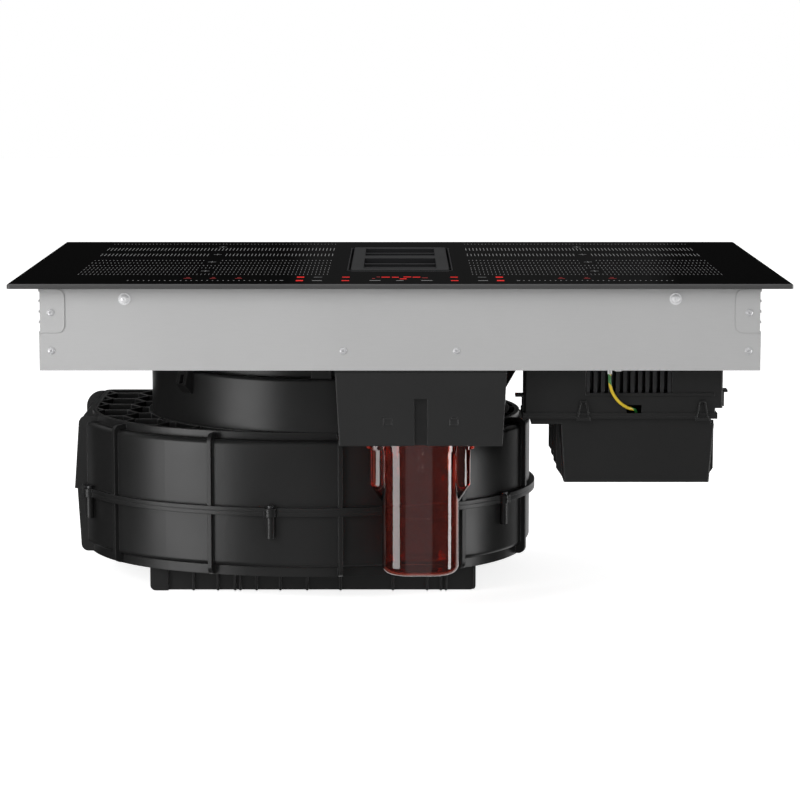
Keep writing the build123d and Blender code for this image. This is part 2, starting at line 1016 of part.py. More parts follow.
with BuildPart() as ferrite_bars:
    for x, y in coil_places:
        for side in (-1, 1):
            for shift in (-1, 0, 1):
                with Locations((x + shift * coil_width / 4, y + side * coil_depth / 3, carrier_top)):
                    Box(
                        ferrite_width,
                        ferrite_length,
                        ferrite_thick,
                        align=(Align.CENTER, Align.CENTER, Align.MIN),
                    )
            with Locations((x + side * coil_width / 3, y, carrier_top)):
                Box(
                    ferrite_length,
                    ferrite_width,
                    ferrite_thick,
                    align=(Align.CENTER, Align.CENTER, Align.MIN),
                )
save(ferrite_bars, "ferrite_bars")

carrier_w = coil_width + 2 * carrier_margin
carrier_front = coil_front_y - coil_depth / 2 - carrier_margin
carrier_back = coil_rear_y + coil_depth / 2 + carrier_margin
with BuildPart() as coil_carriers:
    for side in (-1, 1):
        middle = side * coil_centre_x
        block(
            middle - carrier_w / 2,
            middle + carrier_w / 2,
            carrier_front,
            carrier_back,
            carrier_bottom,
            carrier_top,
        )
        for reach in (-1, 1):
            for y in (carrier_front + post_inset, carrier_back - post_inset):
                post(middle + reach * (carrier_w / 2 - post_inset), y, floor_top, carrier_bottom, post_r)
save(coil_carriers, "coil_carriers")

with BuildPart() as temperature_sensors:
    for x, y in coil_places:
        post(x, y, carrier_top, coil_top, sensor_r)
save(temperature_sensors, "temperature_sensors")

with BuildPart() as power_boards:
    for side in (-1, 1):
        x = side * board_x
        with Locations((x, board_y, board_bottom + board_thick / 2)):
            Box(board_width, board_depth, board_thick)
        with Locations((x, board_y, (floor_top + board_bottom) / 2)):
            with GridLocations(board_width - 4 * post_r, board_depth - 4 * post_r, 2, 2):
                Cylinder(post_r, board_gap)
save(power_boards, "power_boards")

with BuildPart() as power_heat_sinks:
    for side in (-1, 1):
        x = side * board_x
        with Locations((x, board_y, board_top + sink_base / 2)):
            Box(sink_width, sink_depth, sink_base)
        with Locations((x, board_y, board_top + sink_base + sink_height / 2)):
            with GridLocations((sink_width - sink_fin) / (sink_fins - 1), 0, sink_fins, 1):
                Box(sink_fin, sink_depth, sink_height)
save(power_heat_sinks, "power_heat_sinks")

cap_x = sink_width / 2 + cap_r * 1.4
with BuildPart() as power_capacitors:
    for side in (-1, 1):
        for y in (-1, 0, 1):
            post(
                side * board_x + cap_x,
                board_y + y * 3 * cap_r,
                board_top,
                board_top + cap_height,
                cap_r,
            )
save(power_capacitors, "power_capacitors")

rotor_low = floor_top + fan_base + fan_lift
with BuildPart() as fan_frames:
    for side in (-1, 1):
        x = side * fan_x
        with Locations((x, fan_y, floor_top + fan_thick / 2)):
            Box(fan_size, fan_size, fan_thick)
            Cylinder(fan_rotor_r + fan_rotor_gap, fan_thick, mode=Mode.SUBTRACT)
        post(x, fan_y, floor_top, floor_top + fan_base, fan_hub_r)
        with Locations((x, fan_y, floor_top + fan_base / 2)):
            Box(fan_size - fan_strut, fan_strut, fan_base)
            Box(fan_strut, fan_size - fan_strut, fan_base)
        post(x, fan_y, floor_top, floor_top + fan_base + fan_pin_height, fan_pin_r)
save(fan_frames, "fan_frames")

for side, hand in ((-1, "left"), (1, "right")):
    x = side * fan_x
    with BuildPart() as fan_rotor:
        post(x, fan_y, rotor_low, rotor_low + fan_hub_height, fan_hub_r)
        with Locations((x, fan_y, rotor_low + fan_hub_height / 2)):
            with PolarLocations((fan_hub_r + fan_rotor_r) / 2, fan_blades):
                Box(
                    fan_rotor_r - fan_hub_r + 1,
                    fan_blade_thick,
                    fan_blade_depth,
                    rotation=(fan_blade_tilt, 0, 0),
                )
        post(x, fan_y, rotor_low, rotor_low + fan_pin_height, fan_pin_r + fan_running_gap, Mode.SUBTRACT)
    save(fan_rotor, f"{hand}_fan_rotor")

# ---------------------------------------------------------------- touch controls
tray_front = front_flange_width - cas_y + 2 + touch_gap
tray_back = tray_front + touch_depth
tray_half = touch_width / 2
tray_floor = touch_wall - touch_tray_depth
touch_board_top = tray_floor + touch_lift + board_thick
with BuildPart() as touch_tray:
    block(-tray_half, tray_half, tray_front, tray_back, -touch_tray_depth, 0)
    block(
        touch_wall - tray_half,
        tray_half - touch_wall,
        tray_front + touch_wall,
        tray_back - touch_wall,
        tray_floor,
        0,
        Mode.SUBTRACT,
    )
    with Locations((0, (tray_front + tray_back) / 2, tray_floor + touch_lift / 2)):
        with GridLocations(tray_half / 2.1, touch_depth - 6 * touch_wall, 5, 2):
            Box(2 * touch_lift, 2 * touch_lift, touch_lift)
save(touch_tray, "touch_tray")

inset = touch_wall + touch_gap
with BuildPart() as touch_board:
    block(
        inset - tray_half,
        tray_half - inset,
        tray_front + inset,
        tray_back - inset,
        tray_floor + touch_lift,
        touch_board_top,
    )
    # spring pads that press against the underside of the glass
    with Locations((0, tray_front + touch_depth / 2, touch_board_top / 2)):
        with GridLocations(pad_pitch, 0, pads, 1):
            Cylinder(pad_r, -touch_board_top)
save(touch_board, "touch_board")

# ---------------------------------------------------------------- mains connection
terminal_back = cas_y - sheet
gland_z = floor_top + terminal_height / 2
with BuildPart() as terminal_box:
    block(
        terminal_x - terminal_width / 2,
        terminal_x + terminal_width / 2,
        terminal_back - terminal_depth,
        terminal_back,
        floor_top,
        floor_top + terminal_height,
    )
    block(
        terminal_x - terminal_width / 2 + terminal_wall,
        terminal_x + terminal_width / 2 - terminal_wall,
        terminal_back - terminal_depth + terminal_wall,
        terminal_back - terminal_wall,
        floor_top + terminal_wall,
        floor_top + terminal_height,
        Mode.SUBTRACT,
    )
    stud(terminal_x, terminal_back - terminal_wall, gland_z, terminal_wall, gland_r, Mode.SUBTRACT)
    with Locations((terminal_x, terminal_back - terminal_depth * 0.7, floor_top)):
        with GridLocations(terminal_pitch, 0, terminals, 1):
            Cylinder(terminal_post_r, terminal_post, align=(Align.CENTER, Align.CENTER, Align.MIN))
save(terminal_box, "terminal_box")

with BuildPart() as cable_gland:
    stud(terminal_x, terminal_back - terminal_wall, gland_z, terminal_wall + sheet, gland_r)
    stud(terminal_x, cas_y, gland_z, gland_flange, gland_r + gland_flange)
    stud(terminal_x, cas_y, gland_z, gland_length, gland_r)
    stud(
        terminal_x,
        terminal_back - terminal_wall,
        gland_z,
        2 * gland_length,
        gland_bore_r,
        Mode.SUBTRACT,
    )
save(cable_gland, "cable_gland")

# ---------------------------------------------------------------- neck
with BuildPart() as blower_neck:
    slab(neck_face(neck_r, neck_back), neck_foot, neck_top)
    rim = blower_neck.faces().sort_by(Axis.Z)[-1].outer_wire()
    fillet(rim.edges(), neck_edge)
    slab(
        neck_face(neck_r - neck_wall, neck_back - neck_wall),
        neck_foot,
        neck_top - neck_wall,
        Mode.SUBTRACT,
    )
    slab(neck_face(neck_ledge_r, collar_back - neck_ledge), neck_foot, neck_top, Mode.SUBTRACT)
    # stop block beside the collar
    plate(
        radial_plane(neck_x, neck_y, block_angle),
        (
            (collar_r + 1, neck_top - 1),
            (neck_r - neck_edge, neck_top - 1),
            (neck_r - neck_edge, neck_top + block_height),
            (collar_r + 1, neck_top + block_height),
        ),
        block_width,
    )
save(blower_neck, "blower_neck")

with BuildPart() as neck_cover:
    slab(neck_face(collar_r, collar_back), neck_top, casing_bottom)
    slab(
        neck_face(collar_r - collar_wall, collar_back - collar_wall),
        cover_top,
        casing_bottom,
        Mode.SUBTRACT,
    )
    block(
        chimney_wall - duct_outlet_width / 2,
        duct_outlet_width / 2 - chimney_wall,
        duct_outlet_front + chimney_wall,
        duct_outlet_back - chimney_wall,
        neck_top,
        cover_top,
        Mode.SUBTRACT,
    )
save(neck_cover, "neck_cover")

with BuildPart() as neck_latches:
    for angle in latch_angles:
        plane = radial_plane(neck_x, neck_y, angle)
        plate(
            plane,
            (
                (neck_r, latch_foot),
                (neck_r + latch_foot_proud, latch_foot),
                (neck_r + latch_proud, latch_swell),
                (neck_r + latch_proud / 2, latch_top),
                (collar_r, latch_top),
                (collar_r, neck_top),
                (neck_r, neck_top),
            ),
            latch_width,
        )
        with BuildSketch(plane) as slot:
            with Locations((neck_r + latch_proud, (latch_foot + latch_top) / 2)):
                Rectangle(2 * latch_proud - latch_foot_proud, latch_swell - latch_foot)
        extrude(slot.sketch, amount=latch_slot / 2, both=True, mode=Mode.SUBTRACT)
save(neck_latches, "neck_latches")

# gussets that hang the neck from the casing
with BuildPart() as neck_gussets:
    for angle in gusset_angles:
        plate(
            radial_plane(neck_x, neck_y, angle),
            (
                (neck_r, gusset_foot),
                (neck_r + gusset_nub, gusset_foot),
                (neck_r + gusset_reach, casing_bottom - gusset_pad),
                (neck_r + gusset_reach, casing_bottom),
                (neck_r, casing_bottom),
            ),
            gusset_thick,
        )
save(neck_gussets, "neck_gussets")

# ---------------------------------------------------------------- drum
def upright_rib(plane, side_r, low, high, step, inset, high_proud, low_proud, corner):
    """A rib on a wall, wrapped over the step at its end; side_r is where the wall is."""
    root = side_r - drum_wall / 2
    plate(
        plane,
        (
            (side_r - inset, high),
            (side_r + high_proud, high),
            (side_r + low_proud, low),
            (root, low),
            (root, step),
            (side_r - inset, step),
        ),
        rib_width,
        ((side_r + high_proud, high),),
        corner,
    )


# each rib's plane, the wall's place on it, and how proud it stands: at the top, on both sides
# of the seam and at the foot
even = (rib_proud, rib_proud, rib_proud, rib_proud)
drum_ribs = [
    (radial_plane(drum_front_x, drum_front_y, angle), drum_front_r, even) for angle in rib_angles
]
for angle in right_rib_angles:
    drum_ribs.append((radial_plane(drum_right_x, drum_right_y, angle), drum_right_r, even))
drum_ribs.append((radial_plane(drum_left_x, drum_left_y, left_rib_angle), drum_left_r, even))
left_rib_reach = math.sqrt(drum_left_r**2 - (left_rib_y - drum_left_y) ** 2)
drum_ribs.append((radial_plane(0, left_rib_y, 180), left_rib_reach - drum_left_x, left_rib_prouds))
boss_places = [
    around(drum_front_x, drum_front_y, boss_angle, drum_front_r + boss_proud),
    around(drum_left_x, drum_left_y, left_boss_angle, drum_left_r + boss_proud),
    around(drum_right_x, drum_right_y, right_boss_angle, drum_right_r + boss_proud),
]
boss_places += [(x, drum_back + boss_proud) for x in boss_back_x]
mid_wall = drum_wall / 2

with BuildPart() as drum_upper:
    slab(drum_face(0), drum_seam, drum_step)
    shoulder = drum_upper.faces().sort_by(Axis.Z)[-1].outer_wire()
    fillet(shoulder.edges(), drum_edge)
    slab(drum_face(drum_rim_inset), drum_step, drum_top)
    slab(drum_face(drum_wall), drum_seam, drum_step - drum_wall, Mode.SUBTRACT)
    slab(drum_face(rim_inner), drum_step, drum_top, Mode.SUBTRACT)
    # shoulder plate, open under the grilles and the deck but for a ledge round each
    with BuildSketch() as openings:
        add(drum_face(rim_inner + grille_seat))
        add(neck_face(deck_r + grille_seat, deck_back), mode=Mode.SUBTRACT)
        with BuildSketch():
            add(neck_face(deck_r - grille_seat, deck_back - grille_seat))
            add(drum_face(rim_inner + grille_seat), mode=Mode.INTERSECT)
    slab(openings.sketch, drum_step - drum_wall, drum_step, Mode.SUBTRACT)
    # deck that carries the neck, on a wall of its own
    with BuildSketch() as deck:
        add(neck_face(deck_r, deck_back))
        add(drum_face(rim_inner - 1), mode=Mode.INTERSECT)
    slab(deck.sketch, drum_step, deck_top)
    with BuildSketch() as under_deck:
        add(neck_face(deck_r - grille_seat, deck_back - grille_seat))
        add(drum_face(rim_inner), mode=Mode.INTERSECT)
    slab(under_deck.sketch, drum_step, deck_bottom, Mode.SUBTRACT)
    post(neck_x, neck_y, deck_bottom, deck_top, mouth_r, Mode.SUBTRACT)
    # outside ribs, seam flange and screw bosses
    for plane, radius, prouds in drum_ribs:
        upright_rib(
            plane,
            radius,
            drum_seam,
            drum_top - 2,
            drum_step - mid_wall,
            drum_rim_inset + mid_wall,
            prouds[0],
            prouds[1],
            rib_corner,
        )
    upright_rib(
        radial_plane(0, back_rib_y, 180),
        -drum_left,
        drum_seam,
        drum_top,
        drum_step - mid_wall,
        drum_rim_inset + mid_wall,
        back_rib_proud,
        back_rib_proud,
        back_rib_corner,
    )
    with BuildSketch() as flange:
        add(drum_face(-seam_flange))
        add(drum_face(mid_wall), mode=Mode.SUBTRACT)
    slab(flange.sketch, drum_seam, boss_top)
    for x, y in boss_places:
        post(x, y, drum_seam, boss_top, boss_r)
        post(x, y, drum_seam, boss_top, drum_screw_core_r, Mode.SUBTRACT)
save(drum_upper, "drum_upper")

with BuildPart() as drum_lower:
    slab(drum_face(0), drum_low_step, drum_seam)
    foot_edge = drum_lower.faces().sort_by(Axis.Z)[0].outer_wire()
    fillet(foot_edge.edges(), drum_edge)
    slab(drum_face(drum_low_inset), drum_bottom, drum_low_step)
    slab(drum_face(drum_wall), drum_low_step + drum_floor, drum_seam, Mode.SUBTRACT)
    slab(
        drum_face(drum_low_inset + drum_wall),
        drum_floor_top,
        drum_low_step + drum_floor,
        Mode.SUBTRACT,
    )
    for plane, radius, prouds in drum_ribs:
        upright_rib(
            plane,
            radius,
            drum_seam,
            drum_bottom + 1,
            drum_low_step + mid_wall,
            drum_low_inset + mid_wall,
            prouds[3],
            prouds[2],
            rib_corner,
        )
    with BuildSketch() as flange:
        add(drum_face(-seam_flange))
        add(drum_face(mid_wall), mode=Mode.SUBTRACT)
    slab(flange.sketch, boss_bottom, drum_seam)
    for x, y in boss_places:
        post(x, y, boss_bottom, drum_seam, boss_r)
        post(x, y, boss_bottom - boss_stem, boss_bottom, boss_stem_r)
        post(x, y, drum_seam - drum_screw_length, drum_seam, drum_screw_core_r, Mode.SUBTRACT)
save(drum_lower, "drum_lower")

with BuildPart() as drum_screws:
    for x, y in boss_places:
        post(x, y, drum_seam - drum_screw_length + 1, boss_top, drum_screw_core_r)
        post(x, y, boss_top, boss_top + drum_screw_head, drum_screw_r)
        post(x, y, boss_top + 1, boss_top + drum_screw_head, screw_socket_r, Mode.SUBTRACT)
save(drum_screws, "drum_screws")

# outlet grilles with hexagonal holes, one on each side of the neck
column_pitch = 1.5 * hex_side
row_pitch = math.sqrt(3) * hex_side
hole_r = hex_side - hex_rib / math.sqrt(3)
hex_places = []
for column in range(hex_columns):
    for row in range(hex_rows):
        x = drum_left + rim_inner + hex_offset + column * column_pitch
        y = drum_front + (row + column % 2 / 2) * row_pitch
        hex_places.append((x, y))
with BuildPart() as outlet_grilles:
    for x0, x1 in ((drum_left, neck_x), (neck_x, drum_right)):
        faces = []
        for margin in (0, hex_frame):
            with BuildSketch() as region:
                add(drum_face(rim_inner + grille_gap + margin))
                add(neck_face(deck_r + grille_gap + margin, drum_back), mode=Mode.SUBTRACT)
                with Locations(((x0 + x1) / 2, neck_y)):
                    Rectangle(x1 - x0, 2 * drum_front_r, mode=Mode.INTERSECT)
                if margin:
                    with BuildSketch(mode=Mode.INTERSECT):
                        with Locations(*hex_places):
                            RegularPolygon(hole_r, 6)
            faces.append(region.sketch)
        slab(faces[0], drum_step, drum_top)
        slab(faces[1], drum_step, drum_top, Mode.SUBTRACT)
save(outlet_grilles, "outlet_grilles")

# ---------------------------------------------------------------- radial fan and its motor
plate_top = impeller_plate + impeller_plate_thick
ring_bottom = impeller_top - impeller_ring
with BuildPart() as impeller:
    post(neck_x, neck_y, impeller_plate, plate_top, impeller_r)
    post(neck_x, neck_y, plate_top, plate_top + hub_height, hub_r)
    with Locations((neck_x, neck_y, (plate_top + ring_bottom) / 2)):
        with PolarLocations((impeller_r + impeller_inner_r) / 2, impeller_blades):
            Box(
                impeller_r - impeller_inner_r,
                blade_thick,
                ring_bottom - plate_top,
                rotation=(0, 0, blade_sweep),
            )
    with BuildSketch(Plane.XY.offset(ring_bottom)):
        with Locations((neck_x, neck_y)):
            Circle(impeller_r)
            Circle(impeller_inner_r, mode=Mode.SUBTRACT)
    extrude(amount=impeller_ring)
    post(neck_x, neck_y, impeller_plate, plate_top + hub_height, shaft_r, Mode.SUBTRACT)
save(impeller, "impeller")

shaft_top = plate_top + hub_height + shaft_nose
shaft_bottom = motor_top - shaft_depth
with BuildPart() as motor_shaft:
    post(neck_x, neck_y, shaft_bottom, shaft_top, shaft_r)
    shaft_tip = motor_shaft.edges().group_by(Axis.Z)[-1]
    chamfer(shaft_tip, 1)
save(motor_shaft, "motor_shaft")

motor_bottom = motor_top - motor_height
with BuildPart() as fan_motor:
    post(neck_x, neck_y, motor_bottom, motor_top, motor_r)
    fillet(fan_motor.edges().group_by(Axis.Z)[-1], motor_rib_r)
    with Locations((neck_x, neck_y, (motor_bottom + motor_top) / 2)):
        with PolarLocations(motor_r, motor_grooves):
            Cylinder(motor_rib_r, motor_height, mode=Mode.SUBTRACT)
    post(
        neck_x,
        neck_y,
        shaft_bottom - shaft_gap,
        motor_top,
        shaft_r + shaft_gap,
        Mode.SUBTRACT,
    )
save(fan_motor, "fan_motor")

mount_bottom = motor_bottom - mount_thick
with BuildPart() as motor_mount:
    post(neck_x, neck_y, mount_bottom, motor_bottom, mount_r)
    with Locations((neck_x, neck_y, motor_bottom)):
        with PolarLocations(mount_hole_ring, mount_holes):
            Cylinder(mount_hole_r, 3 * mount_thick, mode=Mode.SUBTRACT)
save(motor_mount, "motor_mount")

with BuildPart() as motor_dampers:
    with Locations((neck_x, neck_y, (drum_floor_top + mount_bottom) / 2)):
        with PolarLocations(damper_ring, dampers):
            Cylinder(damper_r, mount_bottom - drum_floor_top)
save(motor_dampers, "motor_dampers")

filter_low = drum_floor_top
filter_high = deck_bottom - odour_gap
with BuildPart() as odour_filter:
    with BuildSketch(Plane.XY.offset(filter_low)):
        with Locations((neck_x, neck_y)):
            Circle(odour_outer_r)
            Circle(odour_inner_r, mode=Mode.SUBTRACT)
            with PolarLocations(odour_outer_r, odour_pleats):
                Rectangle(odour_pleat_depth, odour_pleat_width, mode=Mode.SUBTRACT)
    extrude(amount=filter_high - filter_low)
save(odour_filter, "odour_filter")

# ---------------------------------------------------------------- ribbed base under the drum
with BuildPart() as base_skirt:
    block(base_left, base_right, base_front, base_back, base_bottom, drum_bottom)
    fillet(base_skirt.edges().filter_by(Axis.Y).group_by(Axis.Z)[0], base_corner)
    block(
        base_left + base_wall,
        base_right - base_wall,
        base_front + base_recess + base_wall,
        base_back - base_wall,
        base_bottom,
        drum_bottom,
        Mode.SUBTRACT,
    )
    # the front wall stands back behind its ribs
    block(
        base_left + base_panel,
        base_right - base_rib_width,
        base_front,
        base_front + base_recess,
        base_bottom,
        drum_bottom,
        Mode.SUBTRACT,
    )
    for x in base_rib_x:
        block(
            x - base_rib_width / 2,
            x + base_rib_width / 2,
            base_front,
            base_front + base_recess,
            base_bottom,
            drum_bottom,
        )
    for y in base_ties:
        block(base_left, base_right, y, y + base_wall, base_bottom + base_tie_lift, drum_bottom)
save(base_skirt, "base_skirt")

# ---------------------------------------------------------------- liquid collector
duct_front = inlet_y - duct_low_d / 2
with BuildPart() as drain_pipe:
    with BuildLine() as drain_line:
        FilletPolyline(
            (drain_x, duct_front + duct_wall, drain_start_z),
            (drain_x, drain_y, drain_start_z),
            (drain_x, drain_y, drain_end_z),
            radius=drain_bend,
        )
    with BuildSketch(Plane(origin=drain_line.line @ 0, z_dir=drain_line.line % 0)):
        Circle(drain_r)
    sweep()
    stud(
        drain_x,
        duct_front - drain_flange_thick,
        drain_start_z,
        drain_flange_thick,
        drain_r + drain_flange,
    )
    with BuildSketch(Plane(origin=drain_line.line @ 0, z_dir=drain_line.line % 0)) as bore:
        Circle(drain_r - drain_wall)
    sweep(bore.sketch, path=drain_line.line, mode=Mode.SUBTRACT)
save(drain_pipe, "drain_pipe")

lid_bottom = casing_bottom - box_lid
box_floor_top = box_bottom + box_floor
with BuildPart() as collector_lid:
    block(box_left, box_right, box_front, box_back, lid_bottom, casing_bottom)
    post(drain_x, drain_y, lid_bottom, casing_bottom, drain_r, Mode.SUBTRACT)
save(collector_lid, "collector_lid")

with BuildPart() as collector_box:
    with BuildSketch(Plane.XZ.offset(-box_front)):
        with BuildLine():
            Polyline(
                (box_left, lid_bottom),
                (box_right, lid_bottom),
                (box_right - box_draft, box_bottom),
                (box_left + box_draft, box_bottom),
                close=True,
            )
        make_face()
    extrude(amount=box_front - box_back)
    front_face = collector_box.faces().sort_by(Axis.Y)[0]
    fillet(front_face.edges(), box_edge)
    with BuildSketch(Plane.XZ.offset(-box_front - box_wall)):
        with BuildLine():
            Polyline(
                (box_left + box_wall, lid_bottom),
                (box_right - box_wall, lid_bottom),
                (box_right - box_draft - box_wall, box_floor_top),
                (box_left + box_draft + box_wall, box_floor_top),
                close=True,
            )
        make_face()
    extrude(amount=box_front - box_back + 2 * box_wall, mode=Mode.SUBTRACT)
    post(cup_x, cup_y, box_bottom, box_floor_top, box_hole_r, Mode.SUBTRACT)
    # guide slot for the cup's pointer, with an open and a closed padlock beside it
    block(
        cup_x - slot_width / 2 - box_wall,
        cup_x + slot_width / 2 + box_wall,
        box_front + box_wall,
        box_front + slot_depth + box_wall,
        box_bottom,
        box_bottom + slot_height + box_wall,
    )
    block(
        cup_x - slot_width / 2,
        cup_x + slot_width / 2,
        box_front,
        box_front + slot_depth,
        box_bottom,
        box_bottom + slot_height,
        Mode.SUBTRACT,
    )
    front_plane = Plane.XZ.offset(-box_front)
    for side in (-1, 1):
        body_x = cup_x + side * icon_x
        shackle_x = body_x - (icon_size / 2 if side < 0 else 0)
        with BuildSketch(front_plane) as shackle:
            with Locations((shackle_x, icon_z + icon_size * 0.4)):
                Circle(icon_size / 3)
                Circle(icon_size / 3 - icon_line, mode=Mode.SUBTRACT)
            with Locations((shackle_x, icon_z)):
                Rectangle(icon_size, icon_size * 0.8, mode=Mode.SUBTRACT)
        extrude(shackle.sketch, amount=icon_depth)
        with BuildSketch(front_plane) as padlock:
            with Locations((body_x, icon_z)):
                Rectangle(icon_size, icon_size * 0.8)
                Rectangle(icon_size - 2 * icon_line, icon_size * 0.8 - 2 * icon_line, mode=Mode.SUBTRACT)
        extrude(padlock.sketch, amount=icon_depth)
save(collector_box, "collector_box")

spigot_top = cup_top + spigot_height
valve_bottom = spigot_top + valve_gap
valve_top = valve_bottom + valve_thick
socket_ceiling = valve_top + valve_gap
socket_top = socket_ceiling + socket_plate
groove_r = spigot_r + lug_proud + spigot_gap
ledge_top = box_floor_top + socket_ledge
lug_bottom = ledge_top + valve_gap
lug_top = lug_bottom + lug_height
with BuildPart() as cup_socket:
    post(cup_x, cup_y, box_floor_top, box_floor_top + socket_plate, socket_r)
    post(cup_x, cup_y, box_floor_top, socket_top, spigot_r + spigot_gap + socket_wall)
    post(cup_x, cup_y, box_floor_top, socket_ceiling, spigot_r + spigot_gap, Mode.SUBTRACT)
    post(cup_x, cup_y, ledge_top, lug_top + valve_gap, groove_r, Mode.SUBTRACT)
    # ways in for the three lugs; the ledges between them hold the lugs once turned
    with BuildSketch() as way_in:
        with Locations((cup_x, cup_y)):
            Circle(groove_r)
            for angle in lug_angles:
                with BuildSketch(mode=Mode.SUBTRACT):
                    with BuildLine():
                        near = Vector(groove_r * 2, 0).rotate(Axis.Z, angle + ledge_start)
                        middle = Vector(groove_r * 2, 0).rotate(Axis.Z, angle + ledge_middle)
                        far = Vector(groove_r * 2, 0).rotate(Axis.Z, angle + ledge_end)
                        Polyline((0, 0), near, middle, far, close=True)
                    make_face()
    slab(way_in.sketch, box_floor_top, ledge_top, Mode.SUBTRACT)
    post(cup_x, cup_y, socket_ceiling, socket_top, valve_pin_r + shaft_gap, Mode.SUBTRACT)
    hole_x, hole_y = around(cup_x, cup_y, valve_open_angle, valve_offset)
    post(hole_x, hole_y, socket_ceiling, socket_top, valve_hole_r, Mode.SUBTRACT)
save(cup_socket, "cup_socket")

with BuildPart() as drain_valve:
    post(cup_x, cup_y, valve_bottom, valve_top, spigot_r)
    hole_x, hole_y = around(cup_x, cup_y, valve_open_angle - cup_turn, valve_offset)
    post(hole_x, hole_y, valve_bottom, valve_top, valve_hole_r, Mode.SUBTRACT)
    post(cup_x, cup_y, valve_top, socket_top + valve_gap, valve_pin_r)
    post(cup_x, cup_y, socket_top + valve_gap, socket_top + valve_gap + valve_head, valve_head_r)
    for side in (-1, 1):
        block(
            *sorted((cup_x + side * (spigot_r - spigot_wall), cup_x + side * (spigot_r - valve_gap))),
            cup_y - key_width / 2,
            cup_y + key_width / 2,
            valve_bottom - key_depth,
            valve_bottom,
        )
save(drain_valve, "drain_valve")

flange_w = cup_width + 2 * cup_flange_proud
flange_d = cup_depth + 2 * cup_flange_proud
with BuildPart() as waste_cup:
    slab(rounded_face(cup_x, cup_y, cup_width, cup_depth, cup_round), cup_bottom, cup_top)
    fillet(waste_cup.edges().group_by(Axis.Z)[0], cup_edge)
    wing_face = rounded_face(cup_x, cup_y, wing_width, wing_depth, wing_round)
    slab(wing_face, wing_end, cup_top)
    fade_face = rounded_face(cup_x, cup_y, cup_width - 1, wing_depth, wing_round)
    loft(
        [
            wing_face.moved(Location((0, 0, wing_end))).face(),
            fade_face.moved(Location((0, 0, wing_fade))).face(),
        ]
    )
    slab(
        rounded_face(cup_x, cup_y, flange_w, flange_d, cup_round + cup_flange_proud),
        cup_flange_bottom,
        cup_top,
    )
    slab(
        rounded_face(
            cup_x,
            cup_y,
            wing_flange_width,
            wing_depth + 2 * cup_flange_proud,
            wing_round + cup_flange_proud,
        ),
        cup_flange_bottom,
        cup_top,
    )
    with BuildPart(mode=Mode.SUBTRACT) as inside:
        inside_face = rounded_face(
            cup_x,
            cup_y,
            cup_width - 2 * cup_wall,
            cup_depth - 2 * cup_wall,
            cup_round - cup_wall,
        )
        slab(inside_face, cup_bottom + cup_wall, cup_top - cup_wall)
        fillet(inside.edges().group_by(Axis.Z)[0], cup_edge - cup_wall)
    post(cup_x, cup_y, cup_top - cup_wall, spigot_top, spigot_r)
    post(cup_x, cup_y, cup_top - cup_wall, spigot_top, spigot_r - spigot_wall, Mode.SUBTRACT)
    with Locations((cup_x, cup_y, (lug_bottom + lug_top) / 2)):
        for angle in lug_angles:
            with PolarLocations(spigot_r + lug_proud / 2 - 0.5, 1, angle):
                Box(lug_proud + 1, lug_width, lug_height)
    for side in (-1, 1):
        block(
            *sorted((cup_x + side * (spigot_r - spigot_wall - 1), cup_x + side * (spigot_r + 1))),
            cup_y - key_width / 2 - valve_gap,
            cup_y + key_width / 2 + valve_gap,
            valve_bottom - key_depth - valve_gap,
            spigot_top,
            Mode.SUBTRACT,
        )
    # pointer and level marks on the front
    cup_front = cup_y - cup_depth / 2
    block(
        cup_x - pointer_width / 2,
        cup_x + pointer_width / 2,
        cup_front - cup_flange_proud - pointer_proud,
        cup_front + cup_wall / 2,
        pointer_top - pointer_drop,
        pointer_top,
    )
    for z in level_z:
        block(
            level_x - level_width / 2,
            level_x + level_width / 2,
            cup_front - level_proud,
            cup_front + cup_wall / 2,
            z - level_line / 2,
            z + level_line / 2,
        )
save(waste_cup, "waste_cup")

with BuildPart() as cup_seal:
    post(cup_x, cup_y, cup_top, box_floor_top - valve_gap, seal_r)
    post(cup_x, cup_y, cup_top, box_floor_top - valve_gap, spigot_r, Mode.SUBTRACT)
save(cup_seal, "cup_seal")

# ---------------------------------------------------------------- control electronics
ebox_roof = casing_bottom - ebox_wall
shelf_top = window_bottom
shelf_bottom = shelf_top - ledge_height
fin_front = ebox_front + esink_gap
fin_back = fin_front + esink_depth


def ebox_face(left, deep_left, margin):
    """The electronics box's plan outline, with its short wing at the left, drawn in by a margin."""
    x0 = left + margin
    x1 = deep_left + margin
    x2 = ebox_right - margin
    y0 = ebox_front + margin
    y1 = ebox_wing_back - margin
    y2 = ebox_back - margin
    with BuildSketch() as face:
        with BuildLine():
            Polyline((x0, y0), (x2, y0), (x2, y2), (x1, y2), (x1, y1), (x0, y1), close=True)
        make_face()
    return face.sketch


